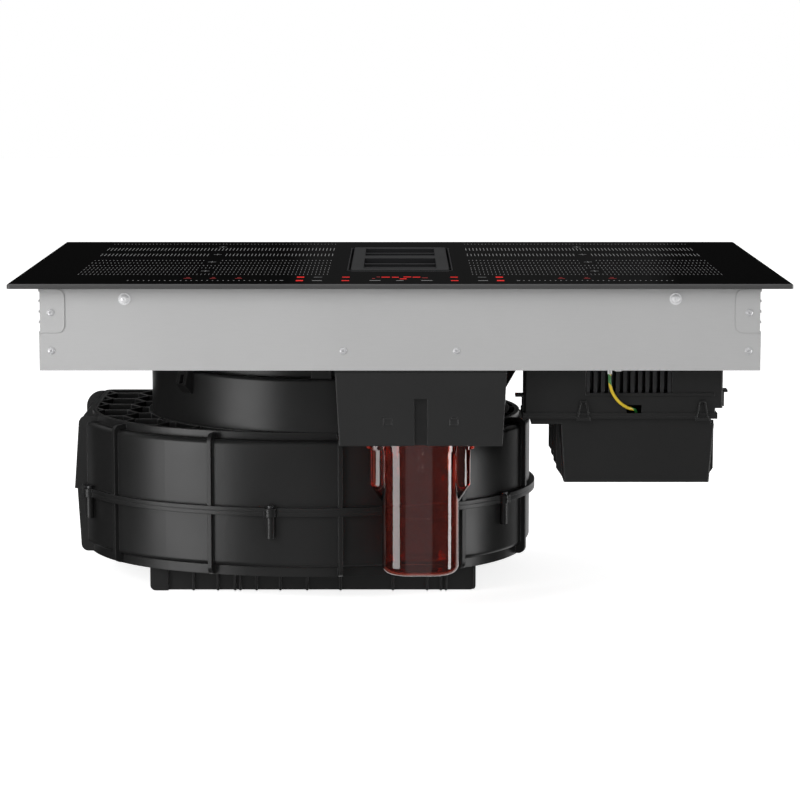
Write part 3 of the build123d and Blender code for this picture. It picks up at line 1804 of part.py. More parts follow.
with BuildPart() as electronics_lid:
    slab(ebox_face(ebox_left, ebox_deep_left, 0), ebox_seam, casing_bottom)
    # cheek at the right
    block(ebox_right, cheek_right, ebox_front, ebox_back, cheek_bottom, casing_bottom)
    fillet(electronics_lid.edges().filter_by(Axis.Z), ebox_draft)
    # seam flange and the long ledge under the heat sink
    slab(
        ebox_face(ebox_left, ebox_deep_left, -ebox_flange),
        ebox_seam,
        ebox_seam + ebox_flange_thick,
    )
    block(
        window_left,
        ledge_right,
        ebox_front - ledge_proud,
        ebox_front + ebox_wall,
        shelf_bottom,
        shelf_top,
    )
    slab(ebox_face(ebox_left, ebox_deep_left, ebox_wall), ebox_seam, ebox_roof, Mode.SUBTRACT)
    block(
        ebox_right - 2 * ebox_wall,
        cheek_right - ebox_wall,
        ebox_front + ebox_wall,
        ebox_back - ebox_wall,
        cheek_bottom + ebox_wall,
        ebox_roof,
        Mode.SUBTRACT,
    )
    block(
        window_left,
        window_right,
        ebox_front,
        ebox_front + ebox_wall,
        window_bottom,
        casing_bottom - ebox_wall,
        Mode.SUBTRACT,
    )
    # shelf and side walls of the heat sink's bay
    block(
        window_left - ebox_wall,
        window_right + ebox_wall,
        ebox_front + ebox_wall,
        fin_back + esink_base,
        shelf_bottom,
        shelf_top,
    )
    for x in (window_left - ebox_wall, window_right):
        block(x, x + ebox_wall, ebox_front + ebox_wall, fin_back, shelf_top, ebox_roof)
    block(
        cable_hole_left,
        cable_hole_right,
        ebox_front - ebox_wall,
        ebox_front + ebox_wall,
        cable_hole_bottom,
        cable_hole_top,
        Mode.SUBTRACT,
    )
    # two hooks for the leads, one on each side
    for edge, turn, foot, high, reach in (
        (ebox_left, -1, hook_left_foot, hook_left_top, hook_left_reach),
        (cheek_right, 1, hook_right_foot, hook_right_top, hook_right_reach),
    ):
        stem = edge + turn * hook_line
        tip = edge + turn * reach
        with BuildSketch(Plane.XZ.offset(-hook_y)) as hook:
            with BuildLine():
                Polyline(
                    (edge, foot + 2 * hook_line),
                    (stem, foot + 2 * hook_line),
                    (stem, high - hook_line),
                    (tip, high - hook_line),
                    (tip, high),
                    (edge, high),
                    close=True,
                )
            make_face()
        extrude(hook.sketch, amount=-hook_depth)
    # catches for the clips
    for x in clip_x:
        block(
            x - catch_proud,
            x + catch_proud,
            ebox_front - catch_proud,
            ebox_front,
            clip_top - clip_line - 2 * clip_gap - catch_proud,
            clip_top - clip_line - clip_gap,
        )
save(electronics_lid, "electronics_lid")

sink_left = window_left + esink_gap
sink_right = window_right - esink_gap
fin_pitch = (sink_right - sink_left - esink_fin) / (esink_fins - 1)
with BuildPart() as control_heat_sink:
    for index in range(esink_fins):
        x = sink_left + index * fin_pitch
        block(x, x + esink_fin, fin_front, fin_back, shelf_top, ebox_roof - esink_gap)
    block(sink_left, sink_right, fin_back, fin_back + esink_base, shelf_top, ebox_roof - esink_gap)
save(control_heat_sink, "control_heat_sink")

tub_front = ebox_front + 2 * ebox_draft
tub_back = ebox_back - 2 * ebox_draft
tub_face = rounded_face(
    (tub_left + tub_right) / 2,
    (tub_front + tub_back) / 2,
    tub_right - tub_left,
    tub_back - tub_front,
    ebox_draft,
)
tub_low_face = rounded_face(
    (tub_left + tub_right) / 2,
    (tub_front + tub_back) / 2,
    tub_right - tub_left - 2 * tub_draft,
    tub_back - tub_front - 2 * tub_draft,
    ebox_draft,
)
tub_floor = tub_bottom + ebox_wall
step_margin = 2 * ebox_draft
step_deep_left = step_left - ebox_left + ebox_deep_left
eboard_bottom = tub_bottom + eboard_gap + ebox_wall
eboard_top = eboard_bottom + board_thick
with BuildPart() as electronics_tub:
    loft(
        [
            tub_face.moved(Location((0, 0, step_bottom))).face(),
            tub_low_face.moved(Location((0, 0, tub_bottom))).face(),
        ]
    )
    slab(ebox_face(step_left, step_deep_left, step_margin), step_bottom, ebox_seam)
    slab(
        ebox_face(ebox_left, ebox_deep_left, -ebox_flange),
        ebox_seam - ebox_flange_thick,
        ebox_seam,
    )
    for y in tub_rib_y:
        for side, turn in ((tub_left, 1), (tub_right, -1)):
            plate(
                Plane(origin=(0, y, 0), x_dir=(1, 0, 0), z_dir=(0, -1, 0)),
                (
                    (side + turn * ebox_wall / 2, step_bottom),
                    (side - turn * tub_rib_proud, step_bottom),
                    (side - turn * tub_rib_proud, tub_rib_end),
                    (side + turn * tub_draft, tub_bottom + 1),
                    (side + turn * (tub_draft + ebox_wall / 2), tub_bottom + 1),
                ),
                tub_rib_width,
            )
    # hollow, in two steps
    slab(
        ebox_face(step_left, step_deep_left, step_margin + ebox_wall),
        step_bottom + ebox_wall,
        ebox_seam,
        Mode.SUBTRACT,
    )
    block(
        tub_left + tub_draft + ebox_wall,
        tub_right - tub_draft - ebox_wall,
        tub_front + tub_draft + ebox_wall,
        tub_back - tub_draft - ebox_wall,
        tub_floor,
        ebox_seam,
        Mode.SUBTRACT,
    )
    for x in (tub_left + 6 * ebox_wall, tub_right - 6 * ebox_wall):
        for y in (tub_front + 6 * ebox_wall, tub_back - 6 * ebox_wall):
            post(x, y, tub_floor, eboard_bottom, post_r)
    # spring clips that reach up over the lid's catches
    for x in clip_x:
        clip_front = ebox_front - ebox_flange
        with BuildSketch(Plane.XZ.offset(-clip_front)) as clip:
            with BuildLine():
                Polyline(
                    (x - clip_foot_width / 2, clip_foot),
                    (x - clip_top_width / 2, clip_top),
                    (x + clip_top_width / 2, clip_top),
                    (x + clip_foot_width / 2, clip_foot),
                    close=True,
                )
            make_face()
            with BuildLine():
                Polyline(
                    (x - clip_foot_width / 2 + clip_line, clip_foot),
                    (x - clip_top_width / 2 + clip_line, clip_top - clip_line),
                    (x + clip_top_width / 2 - clip_line, clip_top - clip_line),
                    (x + clip_foot_width / 2 - clip_line, clip_foot),
                    close=True,
                )
            make_face(mode=Mode.SUBTRACT)
        extrude(clip.sketch, amount=clip_proud)
        block(
            x - clip_foot_width / 2,
            x + clip_foot_width / 2,
            clip_front - clip_proud,
            clip_front,
            clip_foot,
            ebox_seam - ebox_flange_thick / 2,
        )
save(electronics_tub, "electronics_tub")

eboard_left = tub_left + tub_draft + ebox_wall + eboard_margin
eboard_right = tub_right - tub_draft - ebox_wall - eboard_margin
eboard_front = tub_front + tub_draft + ebox_wall + eboard_margin
eboard_back = tub_back - tub_draft - ebox_wall - eboard_margin
wire_end = wire_points[-1]
with BuildPart() as control_board:
    block(eboard_left, eboard_right, eboard_front, eboard_back, eboard_bottom, eboard_top)
    post(wire_end[0], wire_end[1], eboard_top, eboard_top + eterminal_height, eterminal_r)
    post(wire_end[0], wire_end[1], eboard_top, eboard_top + eterminal_height, wire_r, Mode.SUBTRACT)
save(control_board, "control_board")

with BuildPart() as control_parts:
    post(choke_x, choke_y, eboard_top, eboard_top + choke_height, choke_r)
    post(choke_x, choke_y, eboard_top, eboard_top + choke_height, choke_r / 2, Mode.SUBTRACT)
    for index in range(relays):
        block(
            relay_x - relay_size / 2,
            relay_x + relay_size / 2,
            relay_y + index * relay_pitch - relay_size / 2,
            relay_y + index * relay_pitch + relay_size / 2,
            eboard_top,
            eboard_top + relay_size,
        )
save(control_parts, "control_parts")

# ---------------------------------------------------------------- earth wire
corners = [Vector(*point) for point in wire_points[:-1]]
corners.append(Vector(wire_end[0], wire_end[1], eboard_top))
with BuildPart() as earth_wire:
    with BuildLine() as wire_line:
        start = corners[0]
        for before, corner, after in zip(corners, corners[1:], corners[2:]):
            came = (corner - before).normalized()
            goes = (after - corner).normalized()
            run = wire_bend * min((corner - before).length, (after - corner).length)
            half_turn = math.radians(came.get_angle(goes)) / 2
            sagitta = run / math.tan(half_turn) * (1 / math.cos(half_turn) - 1)
            inwards = (goes - came).normalized()
            Line(start, corner - came * run)
            ThreePointArc(corner - came * run, corner + inwards * sagitta, corner + goes * run)
            start = corner + goes * run
        Line(start, corners[-1])
    with BuildSketch(Plane(origin=wire_line.line @ 0, z_dir=wire_line.line % 0)):
        Circle(wire_r)
    sweep()
save(earth_wire, "earth_wire")

wire_start = wire_points[0]
with BuildPart() as earth_terminal:
    block(
        wire_start[0] - lug_barrel_r,
        lug_ring_x,
        wire_start[1] - lug_barrel_r,
        wire_start[1] + lug_barrel_r,
        casing_bottom - lug_ring_thick,
        casing_bottom,
    )
    post(lug_ring_x, wire_start[1], casing_bottom - lug_ring_thick, casing_bottom, lug_ring_r)
    post(
        lug_ring_x,
        wire_start[1],
        casing_bottom - lug_ring_thick - drum_screw_head,
        casing_bottom - lug_ring_thick,
        drum_screw_r,
    )
    post(*wire_start[:2], wire_start[2], casing_bottom, lug_barrel_r)
save(earth_terminal, "earth_terminal")
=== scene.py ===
# %% [markdown]
# # A downdraft induction cooktop, dressed for its portrait
#
# The part is a glass cooking plate with an air inlet in its middle. Under it hang a sheet metal
# casing, a round neck, a wide drum that holds the fan, a box for the control electronics and a
# red cup that catches spilled water. The solids come ready made and may not be moved, so this
# file gives them finishes, adds what is too fine for the solids, and lights the whole.

import math

import bmesh
import bpy
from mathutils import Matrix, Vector


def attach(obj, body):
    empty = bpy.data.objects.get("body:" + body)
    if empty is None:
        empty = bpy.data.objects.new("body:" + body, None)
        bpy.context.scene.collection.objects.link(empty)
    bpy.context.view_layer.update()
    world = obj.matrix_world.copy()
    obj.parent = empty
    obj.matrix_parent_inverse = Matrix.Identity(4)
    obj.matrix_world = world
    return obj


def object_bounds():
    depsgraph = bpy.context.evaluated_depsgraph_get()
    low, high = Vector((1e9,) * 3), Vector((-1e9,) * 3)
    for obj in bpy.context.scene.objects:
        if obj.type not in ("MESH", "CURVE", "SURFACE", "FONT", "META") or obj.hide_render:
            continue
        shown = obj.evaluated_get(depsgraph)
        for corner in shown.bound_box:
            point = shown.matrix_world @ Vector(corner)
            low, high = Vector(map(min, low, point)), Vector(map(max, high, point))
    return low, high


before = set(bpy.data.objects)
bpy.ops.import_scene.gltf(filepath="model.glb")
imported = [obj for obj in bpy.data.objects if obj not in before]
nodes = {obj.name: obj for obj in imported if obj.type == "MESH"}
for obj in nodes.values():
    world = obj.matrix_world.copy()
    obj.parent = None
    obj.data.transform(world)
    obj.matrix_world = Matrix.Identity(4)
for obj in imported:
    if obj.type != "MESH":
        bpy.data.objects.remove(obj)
cad_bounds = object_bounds()

# %% [markdown]
# ## The camera
#
# The glass is a rectangle of a known size, so its four corners in the picture fix the camera:
# it stands three metres in front of the object's middle, a little above the glass, and looks
# down by eight degrees. A long lens keeps the front and back of the object close in scale.

# %% Camera
MM = 0.001
CAMERA_AT = Vector((0, -3090, 282.6)) * MM
CAMERA_DOWN = math.radians(7.972)
LENS = 125.94
SENSOR_WIDTH = 36

camera_data = bpy.data.cameras.new("portrait_camera")
camera_data.lens = LENS
camera_data.sensor_width = SENSOR_WIDTH
camera = bpy.data.objects.new("portrait_camera", camera_data)
camera.location = CAMERA_AT
camera.rotation_euler = (math.radians(90) - CAMERA_DOWN, 0, 0)
bpy.context.scene.collection.objects.link(camera)
bpy.context.scene.camera = camera
bpy.context.scene.view_settings.view_transform = "Standard"
print("camera looks down by", round(math.degrees(CAMERA_DOWN), 1), "degrees")

# %% [markdown]
# ## Writing finishes as sums
#
# A finish is a small net of nodes. Adding them by hand one at a time is hard to read, so this
# class lets a finish be written as a sum: a wire is one output of a node, and adding,
# multiplying or comparing wires adds the Math nodes that do it. Every other node comes from
# `node`, which sets the node up first and then feeds its inputs.

# %% Wires
class Wire:
    """One output of a shader node, which sums can be written with."""

    def __init__(self, tree, socket=None):
        self.tree = tree
        self.socket = socket

    def node(self, kind, settings, inputs, out=0):
        """Add a node and return one of its outputs, if it has any."""
        made = self.tree.nodes.new("ShaderNode" + kind)
        for name, value in settings.items():
            if name == "stops":
                for stop, (place, level) in zip(made.color_ramp.elements, value):
                    stop.position = place
                    stop.color = grey(level)
            else:
                setattr(made, name, value)
        for name, value in inputs.items():
            if isinstance(value, Wire):
                self.tree.links.new(value.socket, made.inputs[name])
            else:
                made.inputs[name].default_value = value
        return Wire(self.tree, made.outputs[out] if made.outputs else None)

    def maths(self, operation, first, second):
        return self.node("Math", {"operation": operation}, {0: first, 1: second})

    def __add__(self, other):
        return self.maths("ADD", self, other)

    def __sub__(self, other):
        return self.maths("SUBTRACT", self, other)

    def __rsub__(self, other):
        return self.maths("SUBTRACT", other, self)

    def __mul__(self, other):
        return self.maths("MULTIPLY", self, other)

    def __truediv__(self, other):
        return self.maths("DIVIDE", self, other)

    def __rtruediv__(self, other):
        return self.maths("DIVIDE", other, self)

    def __gt__(self, other):
        return self.maths("GREATER_THAN", self, other)

    def __lt__(self, other):
        return self.maths("LESS_THAN", self, other)

    __radd__ = __add__
    __rmul__ = __mul__


def grey(level):
    return (level, level, level, 1)


# %% [markdown]
# ### What most finishes share
#
# Nearly every skin has a texture of soft random spots, two colours that a texture mixes, and
# tiny bumps. The Mix node keeps sockets for numbers, vectors and colours under the same names,
# so its colour sockets are picked by their numbers.

# %% Textures
EVEN = (1, 1, 1)
COLOUR_A = 6
COLOUR_B = 7
COLOUR_OUT = 2


def places(wire, stretch=EVEN):
    """Positions on the object in metres, stretched along the axes."""
    where = wire.node("TexCoord", {}, {}, "Object")
    return wire.node("Mapping", {}, {"Vector": where, "Scale": stretch})


def noise(wire, scale, detail=2.0, stretch=EVEN):
    """Soft random spots, so many to the metre."""
    where = places(wire, stretch)
    return wire.node("TexNoise", {}, {"Vector": where, "Scale": scale, "Detail": detail})


def between(wire, mask, first, second):
    """One colour where the mask is 0, another where it is 1."""
    inputs = {"Factor": mask, COLOUR_A: first, COLOUR_B: second}
    return wire.node("Mix", {"data_type": "RGBA"}, inputs, COLOUR_OUT)


def bumps(wire, height, strength, depth, rounded=None):
    """The normal of a bumpy skin, so many metres deep, on rounded edges if they are given."""
    inputs = {"Height": height, "Strength": strength, "Distance": depth}
    if rounded is not None:
        inputs["Normal"] = rounded
    return wire.node("Bump", {}, inputs)


# %% [markdown]
# ## Rounded edges, worn edges and painted edge highlights
#
# Real edges are never sharp: a moulded plastic corner has a radius of about a millimetre and
# sheet metal a rolled lip of half that, and both catch a thin line of light. The Bevel node
# bends the shading there without new faces. Where its normal leaves the true one, the place is
# an edge, and that same difference says where a finish is rubbed, and where the edges of the
# grille and the cup get a painted highlight.

# %% Edges
EDGE_SPREAD = 4


def edges(wire, radius):
    """The rounded normal near edges, and how near an edge each place is."""
    rounded = wire.node("Bevel", {"samples": 4}, {"Radius": radius})
    true = wire.node("NewGeometry", {}, {}, "Normal")
    along = wire.node("VectorMath", {"operation": "DOT_PRODUCT"}, {0: rounded, 1: true}, "Value")
    return rounded, wire.maths("MINIMUM", (1 - along) * EDGE_SPREAD, 1)


def new_finish(name):
    """An empty material, and a wire to grow it from."""
    material = bpy.data.materials.new(name)
    material.use_nodes = True
    material.node_tree.nodes.clear()
    return material, Wire(material.node_tree)


def close_finish(wire, inputs):
    """End a material with its one shader, which takes these constants and wires."""
    shader = wire.node("BsdfPrincipled", {}, inputs)
    wire.node("OutputMaterial", {}, {"Surface": shader})


# %% [markdown]
# ## Black moulded plastic
#
# The neck, the drum and the boxes are injection moulded from black plastic. Its skin copies a
# spark-eroded mould, so it has a fine even grain that spreads highlights into a satin sheen,
# and handling leaves slightly shinier patches. One function makes them all, since the boxes
# only have a duller grain than the drum.

# %% Plastics
MOULD_RADIUS = 0.0012
MOULD_GRAIN = 0.35
MOULD_DEPTH = 0.00006
PORES = 2600
CLOUDS = 90
PATCHES = 14


def moulded(name, colour, roughness, grain=1.0, edge_wear_and_highlight=0.02, mirror=0.5):
    """Grained plastic with lighter edges, rubbed, and on the grille a painted highlight; mirror
    says how strongly it reflects.
    """
    material, wire = new_finish(name)
    rounded, edge = edges(wire, MOULD_RADIUS)
    patches = noise(wire, PATCHES, 3.0)
    pores = noise(wire, PORES, 1.0)
    clouds = noise(wire, CLOUDS)
    body = between(wire, patches, grey(colour * 0.8), grey(colour * 1.2))
    # lighter at the edges: wear, and where the lift is large, as on the grille, a painted
    # highlight
    lighter_edge = grey(colour + edge_wear_and_highlight)
    height = pores + clouds * 0.5
    close_finish(
        wire,
        {
            "Base Color": between(wire, edge * 0.8, body, lighter_edge),
            "Roughness": roughness + (patches - 0.5) * 0.16 + (pores - 0.5) * 0.1,
            "Specular IOR Level": mirror,
            "Normal": bumps(wire, height, MOULD_GRAIN * grain, MOULD_DEPTH, rounded),
        },
    )
    return material


drum_plastic = moulded("drum_plastic", 0.014, 0.36, mirror=0.28)
box_plastic = moulded("box_plastic", 0.012, 0.48, 1.3, 0.012)
tub_plastic = moulded("tub_plastic", 0.009, 0.5, 1.2, 0.012, 0.42)
rotor_plastic = moulded("rotor_plastic", 0.02, 0.4)
pale_plastic = moulded("pale_plastic", 0.5, 0.4, edge_wear_and_highlight=0.1)
# the grille's black edges are lifted to a mid grey: a painted highlight along them
mesh_plastic = moulded("mesh_plastic", 0.006, 0.4, edge_wear_and_highlight=0.2)
print("plastics done")

# %% [markdown]
# ## Sheet metal
#
# The casing is folded from thin coated sheet. Rolling leaves a very fine grain along the sheet
# and the coating evens it out, so it reads as a flat light grey with a weak sheen. The cut
# edges are bright. Turned screws, fins and the coils' copper are the same finish with another
# colour and grain.

# %% Metals
SHEET_RADIUS = 0.0005
ROLLED_DEPTH = 0.00004
ALONG_X = (0.05, 1, 1)
ALONG_Z = (1, 1, 0.05)


def lightened(colour, gain):
    """A colour made lighter or darker, with no part over white."""
    return [min(part * gain, 1) for part in colour] + [1]


def rolled(name, colour, roughness, metallic, grain_scale, along=ALONG_X):
    """Sheet or turned metal with a grain drawn out along one axis."""
    material, wire = new_finish(name)
    rounded, edge = edges(wire, SHEET_RADIUS)
    grain = noise(wire, grain_scale, 2.0, along)
    clouds = noise(wire, 9, 3.0)
    dark = lightened(colour, 0.93)
    light = lightened(colour, 1.06)
    lighter_edge = lightened(colour, 1.25)
    body = between(wire, grain * 0.5 + clouds * 0.5, dark, light)
    close_finish(
        wire,
        {
            "Base Color": between(wire, edge * 0.5, body, lighter_edge),
            "Metallic": metallic,
            "Roughness": roughness + (grain - 0.5) * 0.12 + (clouds - 0.5) * 0.12,
            "Normal": bumps(wire, grain, 0.2, ROLLED_DEPTH, rounded),
        },
    )
    return material


casing_sheet = rolled("casing_sheet", (0.47, 0.47, 0.47), 0.5, 0.1, 900)
screw_steel = rolled("screw_steel", (0.62, 0.62, 0.63), 0.4, 0.35, 1500, EVEN)
chrome = rolled("chrome", (0.82, 0.82, 0.83), 0.25, 0.2, 1200, EVEN)
aluminium = rolled("aluminium", (0.62, 0.62, 0.63), 0.34, 1.0, 1200, ALONG_Z)
filter_steel = rolled("filter_steel", (0.45, 0.45, 0.46), 0.3, 1.0, 1500)
grille_metal = rolled("grille_metal", (0.008, 0.008, 0.009), 0.4, 0.0, 2500, EVEN)
copper = rolled("copper", (0.6, 0.27, 0.12), 0.3, 1.0, 1500)
dark_fins = rolled("dark_fins", (0.012, 0.012, 0.013), 0.45, 0.0, 1200, ALONG_Z)
black_screws = rolled("black_screws", (0.05, 0.05, 0.052), 0.35, 0.6, 1500, EVEN)
print("metals done")

# %% [markdown]
# ## Black glass
#
# The cooking plate is a black glass ceramic, polished on top. It is almost a mirror, but its
# body is black, so the eye sees only reflections and the print. Heat and cloths leave the very
# faintest waves. The ground edge round it is duller and lighter, as light catches the grinding.

# %% Glass
FACES_DOWN = -0.5
FACES_UP = 0.95
WAVE_DEPTH = 0.0002


def plate_glass():
    """Black glass; what faces neither up nor down is its ground edge."""
    material, wire = new_finish("plate_glass")
    facing = wire.node("TexCoord", {}, {}, "Normal")
    up = wire.node("SeparateXYZ", {}, {"Vector": facing}, "Z")
    ground = (up > FACES_DOWN) * (up < FACES_UP)
    waves = noise(wire, 18)
    grit = noise(wire, 3000, 1.0)
    close_finish(
        wire,
        {
            "Base Color": between(wire, ground, grey(0.001), grey(0.06)),
            "Roughness": 0.03 + waves * 0.02 + ground * (0.3 + grit * 0.2),
            "Specular IOR Level": 0.35,
            "Normal": bumps(wire, waves + grit * ground * 0.05, 0.02, WAVE_DEPTH),
        },
    )
    return material


black_glass = plate_glass()
print("glass done")

# %% [markdown]
# ## The red cup
#
# The cup is clear acrylic, dyed so deep a red that only a little light gets through both walls.
# Its polished skin mirrors the lamps as long white strips. The dye sits in the wall, so the
# colour belongs to the light that passes and not to the surface: a fully transmitting shader
# with a red base does that. Near its edges the red turns lighter and more orange, a painted
# highlight. Moulding leaves very faint upright flow lines.

# %% Red cup
CUP_RADIUS = 0.0006
FLOW_DEPTH = 0.0001
ACRYLIC_IOR = 1.49


def dyed_acrylic():
    """Clear plastic that colours the light passing through it."""
    material, wire = new_finish("dyed_acrylic")
    rounded, edge = edges(wire, CUP_RADIUS)
    flow = noise(wire, 60, 2.0, (1, 1, 0.1))
    clouds = noise(wire, 25)
    body = between(wire, clouds, (0.6, 0.13, 0.09, 1), (0.68, 0.17, 0.12, 1))
    close_finish(
        wire,
        {
            # lighter orange near the edges: a painted highlight
            "Base Color": between(wire, edge * 0.7, body, (0.95, 0.25, 0.12, 1)),
            "Roughness": 0.015 + flow * 0.015,
            "IOR": ACRYLIC_IOR,
            "Transmission Weight": 1.0,
            "Specular IOR Level": 1.0,
            "Normal": bumps(wire, flow, 0.05, FLOW_DEPTH, rounded),
        },
    )
    return material


red_acrylic = dyed_acrylic()
print("cup done")

# %% [markdown]
# ## The earth wire
#
# Earth wire has a two-coloured sleeve, mostly yellow with a green stripe that winds slowly round
# it. Bands across the slanted run read as that winding stripe.

# %% Striped sleeve
SKIN_DEPTH = 0.0001


def striped_sleeve():
    """Yellow plastic with slanted green bands."""
    material, wire = new_finish("striped_sleeve")
    bands = wire.node(
        "TexWave",
        {"bands_direction": "DIAGONAL"},
        {"Vector": places(wire, (1, 0.4, 1)), "Scale": 28.0, "Distortion": 0.6, "Detail": 1.0},
        "Fac",
    )
    green = wire.node("ValToRGB", {"stops": ((0.6, 0), (0.66, 1))}, {"Fac": bands})
    rub = noise(wire, 700)
    yellow = between(wire, rub, (0.6, 0.42, 0.015, 1), (0.72, 0.52, 0.03, 1))
    close_finish(
        wire,
        {
            "Base Color": between(wire, green, yellow, (0.02, 0.16, 0.03, 1)),
            "Roughness": 0.35 + (rub - 0.5) * 0.2,
            "Normal": bumps(wire, rub, 0.1, SKIN_DEPTH),
        },
    )
    return material


sleeve = striped_sleeve()
print("sleeve done")

# %% [markdown]
# ## Hidden and small finishes
#
# Rubber, felt, circuit boards, mica and ferrite are small or inside, but a finish is still
# more than one colour: each has a speckle at its own scale.

# %% Speckled stuff
def speckled(name, dark, light, scale, roughness, depth=SKIN_DEPTH):
    """A dull stuff whose colour wanders between two."""
    material, wire = new_finish(name)
    spots = noise(wire, scale, 3.0)
    sharp = wire.node("ValToRGB", {"stops": ((0.42, 0), (0.58, 1))}, {"Fac": spots})
    close_finish(
        wire,
        {
            "Base Color": between(wire, sharp, dark + (1,), light + (1,)),
            "Roughness": roughness + (spots - 0.5) * 0.2,
            "Normal": bumps(wire, spots, 0.4, depth),
        },
    )
    return material


rubber = speckled("rubber", (0.010, 0.010, 0.010), (0.02, 0.02, 0.02), 900, 0.7)
felt = speckled("felt", (0.01, 0.01, 0.01), (0.035, 0.035, 0.035), 1500, 0.95, 0.0004)
mica = speckled("mica", (0.62, 0.57, 0.45), (0.74, 0.7, 0.6), 300, 0.45)
ferrite = speckled("ferrite", (0.03, 0.03, 0.034), (0.06, 0.06, 0.066), 700, 0.6)
board_green = speckled("board_green", (0.012, 0.09, 0.035), (0.02, 0.14, 0.055), 250, 0.35)
board_black = speckled("board_black", (0.008, 0.009, 0.012), (0.02, 0.022, 0.028), 250, 0.35)
print("small finishes done")

# %% [markdown]
# ## Dressing the solids
#
# Each solid is one moulded, cast or folded piece of one stuff, so it takes one finish. A table
# from finish to solids shows at a glance which pieces would come out of the same material.

# %% Which finish each solid takes
finishes = {
    black_glass: ["glass_top"],
    rubber: ["glass_bond", "duct_seal", "motor_dampers", "cup_seal"],
    drum_plastic: [
        "blower_neck", "neck_cover", "neck_latches", "neck_gussets", "drum_upper", "drum_lower",
        "base_skirt", "inlet_duct", "drain_pipe",
    ],
    box_plastic: ["collector_lid", "collector_box", "cup_socket"],
    mesh_plastic: ["outlet_grilles"],
    tub_plastic: ["electronics_lid", "electronics_tub", "power_capacitors", "fan_frames"],
    rotor_plastic: ["impeller", "left_fan_rotor", "right_fan_rotor"],
    pale_plastic: [
        "temperature_sensors", "touch_tray", "terminal_box", "cable_gland", "drain_valve",
        "control_parts",
    ],
    grille_metal: ["inlet_frame", "inlet_grille"],
    filter_steel: ["grease_filter", "filter_mesh"],
    casing_sheet: ["casing_tray", "front_panel", "side_plates"],
    screw_steel: [
        "casing_screws", "fixing_brackets", "motor_shaft", "motor_mount", "earth_terminal",
    ],
    chrome: ["bracket_screws"],
    black_screws: ["drum_screws"],
    dark_fins: ["control_heat_sink"],
    red_acrylic: ["waste_cup"],
    sleeve: ["earth_wire"],
    aluminium: ["coil_carriers", "power_heat_sinks", "fan_motor"],
    copper: ["induction_coils"],
    mica: ["mica_sheets"],
    ferrite: ["ferrite_bars"],
    board_green: ["power_boards", "control_board"],
    board_black: ["touch_board"],
    felt: ["odour_filter"],
}

for material, names in finishes.items():
    for name in names:
        nodes[name].data.materials.clear()
        nodes[name].data.materials.append(material)
print(sum(len(names) for names in finishes.values()), "solids dressed")

# %% [markdown]
# ## The print on the glass
#
# The cooking zones are printed on the glass in rows of fine grey marks, about sixty to a row:
# two rows of long dashes with shorter ones behind and in front of them, and four small crosses
# from back to front through the middle of each zone. Near the front edge lie the sliders and
# the lit signs of the touch controls. Every mark is a thin closed plate of ink, a twentieth of
# a millimetre high. A dash that runs straight to the back looks slanted from the front, because
# the view draws it towards the middle.

# %% Ink and light
INK_HIGH = 0.05
GLASS_TOP = 5.0
CORNERS = ((-1, -1), (1, -1), (1, 1), (-1, 1))


def ink(name, dark, light, glow=0.0):
    """Printed ink, or a lamp behind the glass when it glows."""
    material, wire = new_finish(name)
    spots = noise(wire, 1800)
    colour = between(wire, spots, dark + (1,), light + (1,))
    inputs = {
        "Base Color": colour,
        "Roughness": 0.55 + (spots - 0.5) * 0.2,
        "Specular IOR Level": 0.1,
    }
    if glow:
        inputs["Emission Color"] = colour
        inputs["Emission Strength"] = glow
    close_finish(wire, inputs)
    return material


def printed(name, marks, material):
    """One piece of many thin plates; a mark is its middle in X and Y, its width and its length."""
    made = bmesh.new()
    for x, y, width, length in marks:
        rings = []
        for z in (GLASS_TOP, GLASS_TOP + INK_HIGH):
            ring = []
            for across, along in CORNERS:
                place = (x + across * width / 2, y + along * length / 2, z)
                ring.append(made.verts.new(Vector(place) * MM))
            rings.append(ring)
        low, high = rings
        made.faces.new(low[::-1])
        made.faces.new(high)
        for index in range(4):
            after = (index + 1) % 4
            made.faces.new((low[index], low[after], high[after], high[index]))
    data = bpy.data.meshes.new(name)
    made.to_mesh(data)
    made.free()
    data.materials.append(material)
    piece = bpy.data.objects.new(name, data)
    bpy.context.scene.collection.objects.link(piece)
    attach(piece, "hob")
    print(name, len(marks), "marks")


grey_ink = ink("grey_ink", (0.2, 0.2, 0.2), (0.28, 0.28, 0.28))
dim_ink = ink("dim_ink", (0.12, 0.12, 0.12), (0.17, 0.17, 0.17))
red_light = ink("red_light", (0.6, 0.012, 0.01), (0.75, 0.02, 0.016), 0.3)
dim_red = ink("dim_red", (0.16, 0.012, 0.012), (0.22, 0.018, 0.018), 0.1)

# %% [markdown]
# ### Cooking zones
#
# Both zones are the same rows mirrored. A row is its place in Y and the length of its marks. A
# mark is left out where a cross stands, and a cross is a bar with a stroke behind it and one in
# front of it.

# %% Cooking zones
ZONE_INNER = 76.5
ZONE_OUTER = 338.5
ZONE_COLUMNS = 64
MARK_WIDTH = 0.8
BRIGHT_ROWS = ((225.8, 5), (153.7, 33), (79.9, 28), (9.2, 7), (-21.6, 7), (-52.9, 7))
DIM_ROWS = ((-80.2, 11), (-101.1, 11), (-127.5, 11), (-153.4, 11))
CROSS_X = 207.5
CROSS_Y = (186.5, 85.6, -9.3, -116.1)
CROSS_ARM = 9
CROSS_CLEAR = 24
# how far each stroke is shifted in Y, its width and its length
CROSS_STROKES = ((0, CROSS_ARM, 3), (5, 1.2, 7), (-5, 1.2, 7))


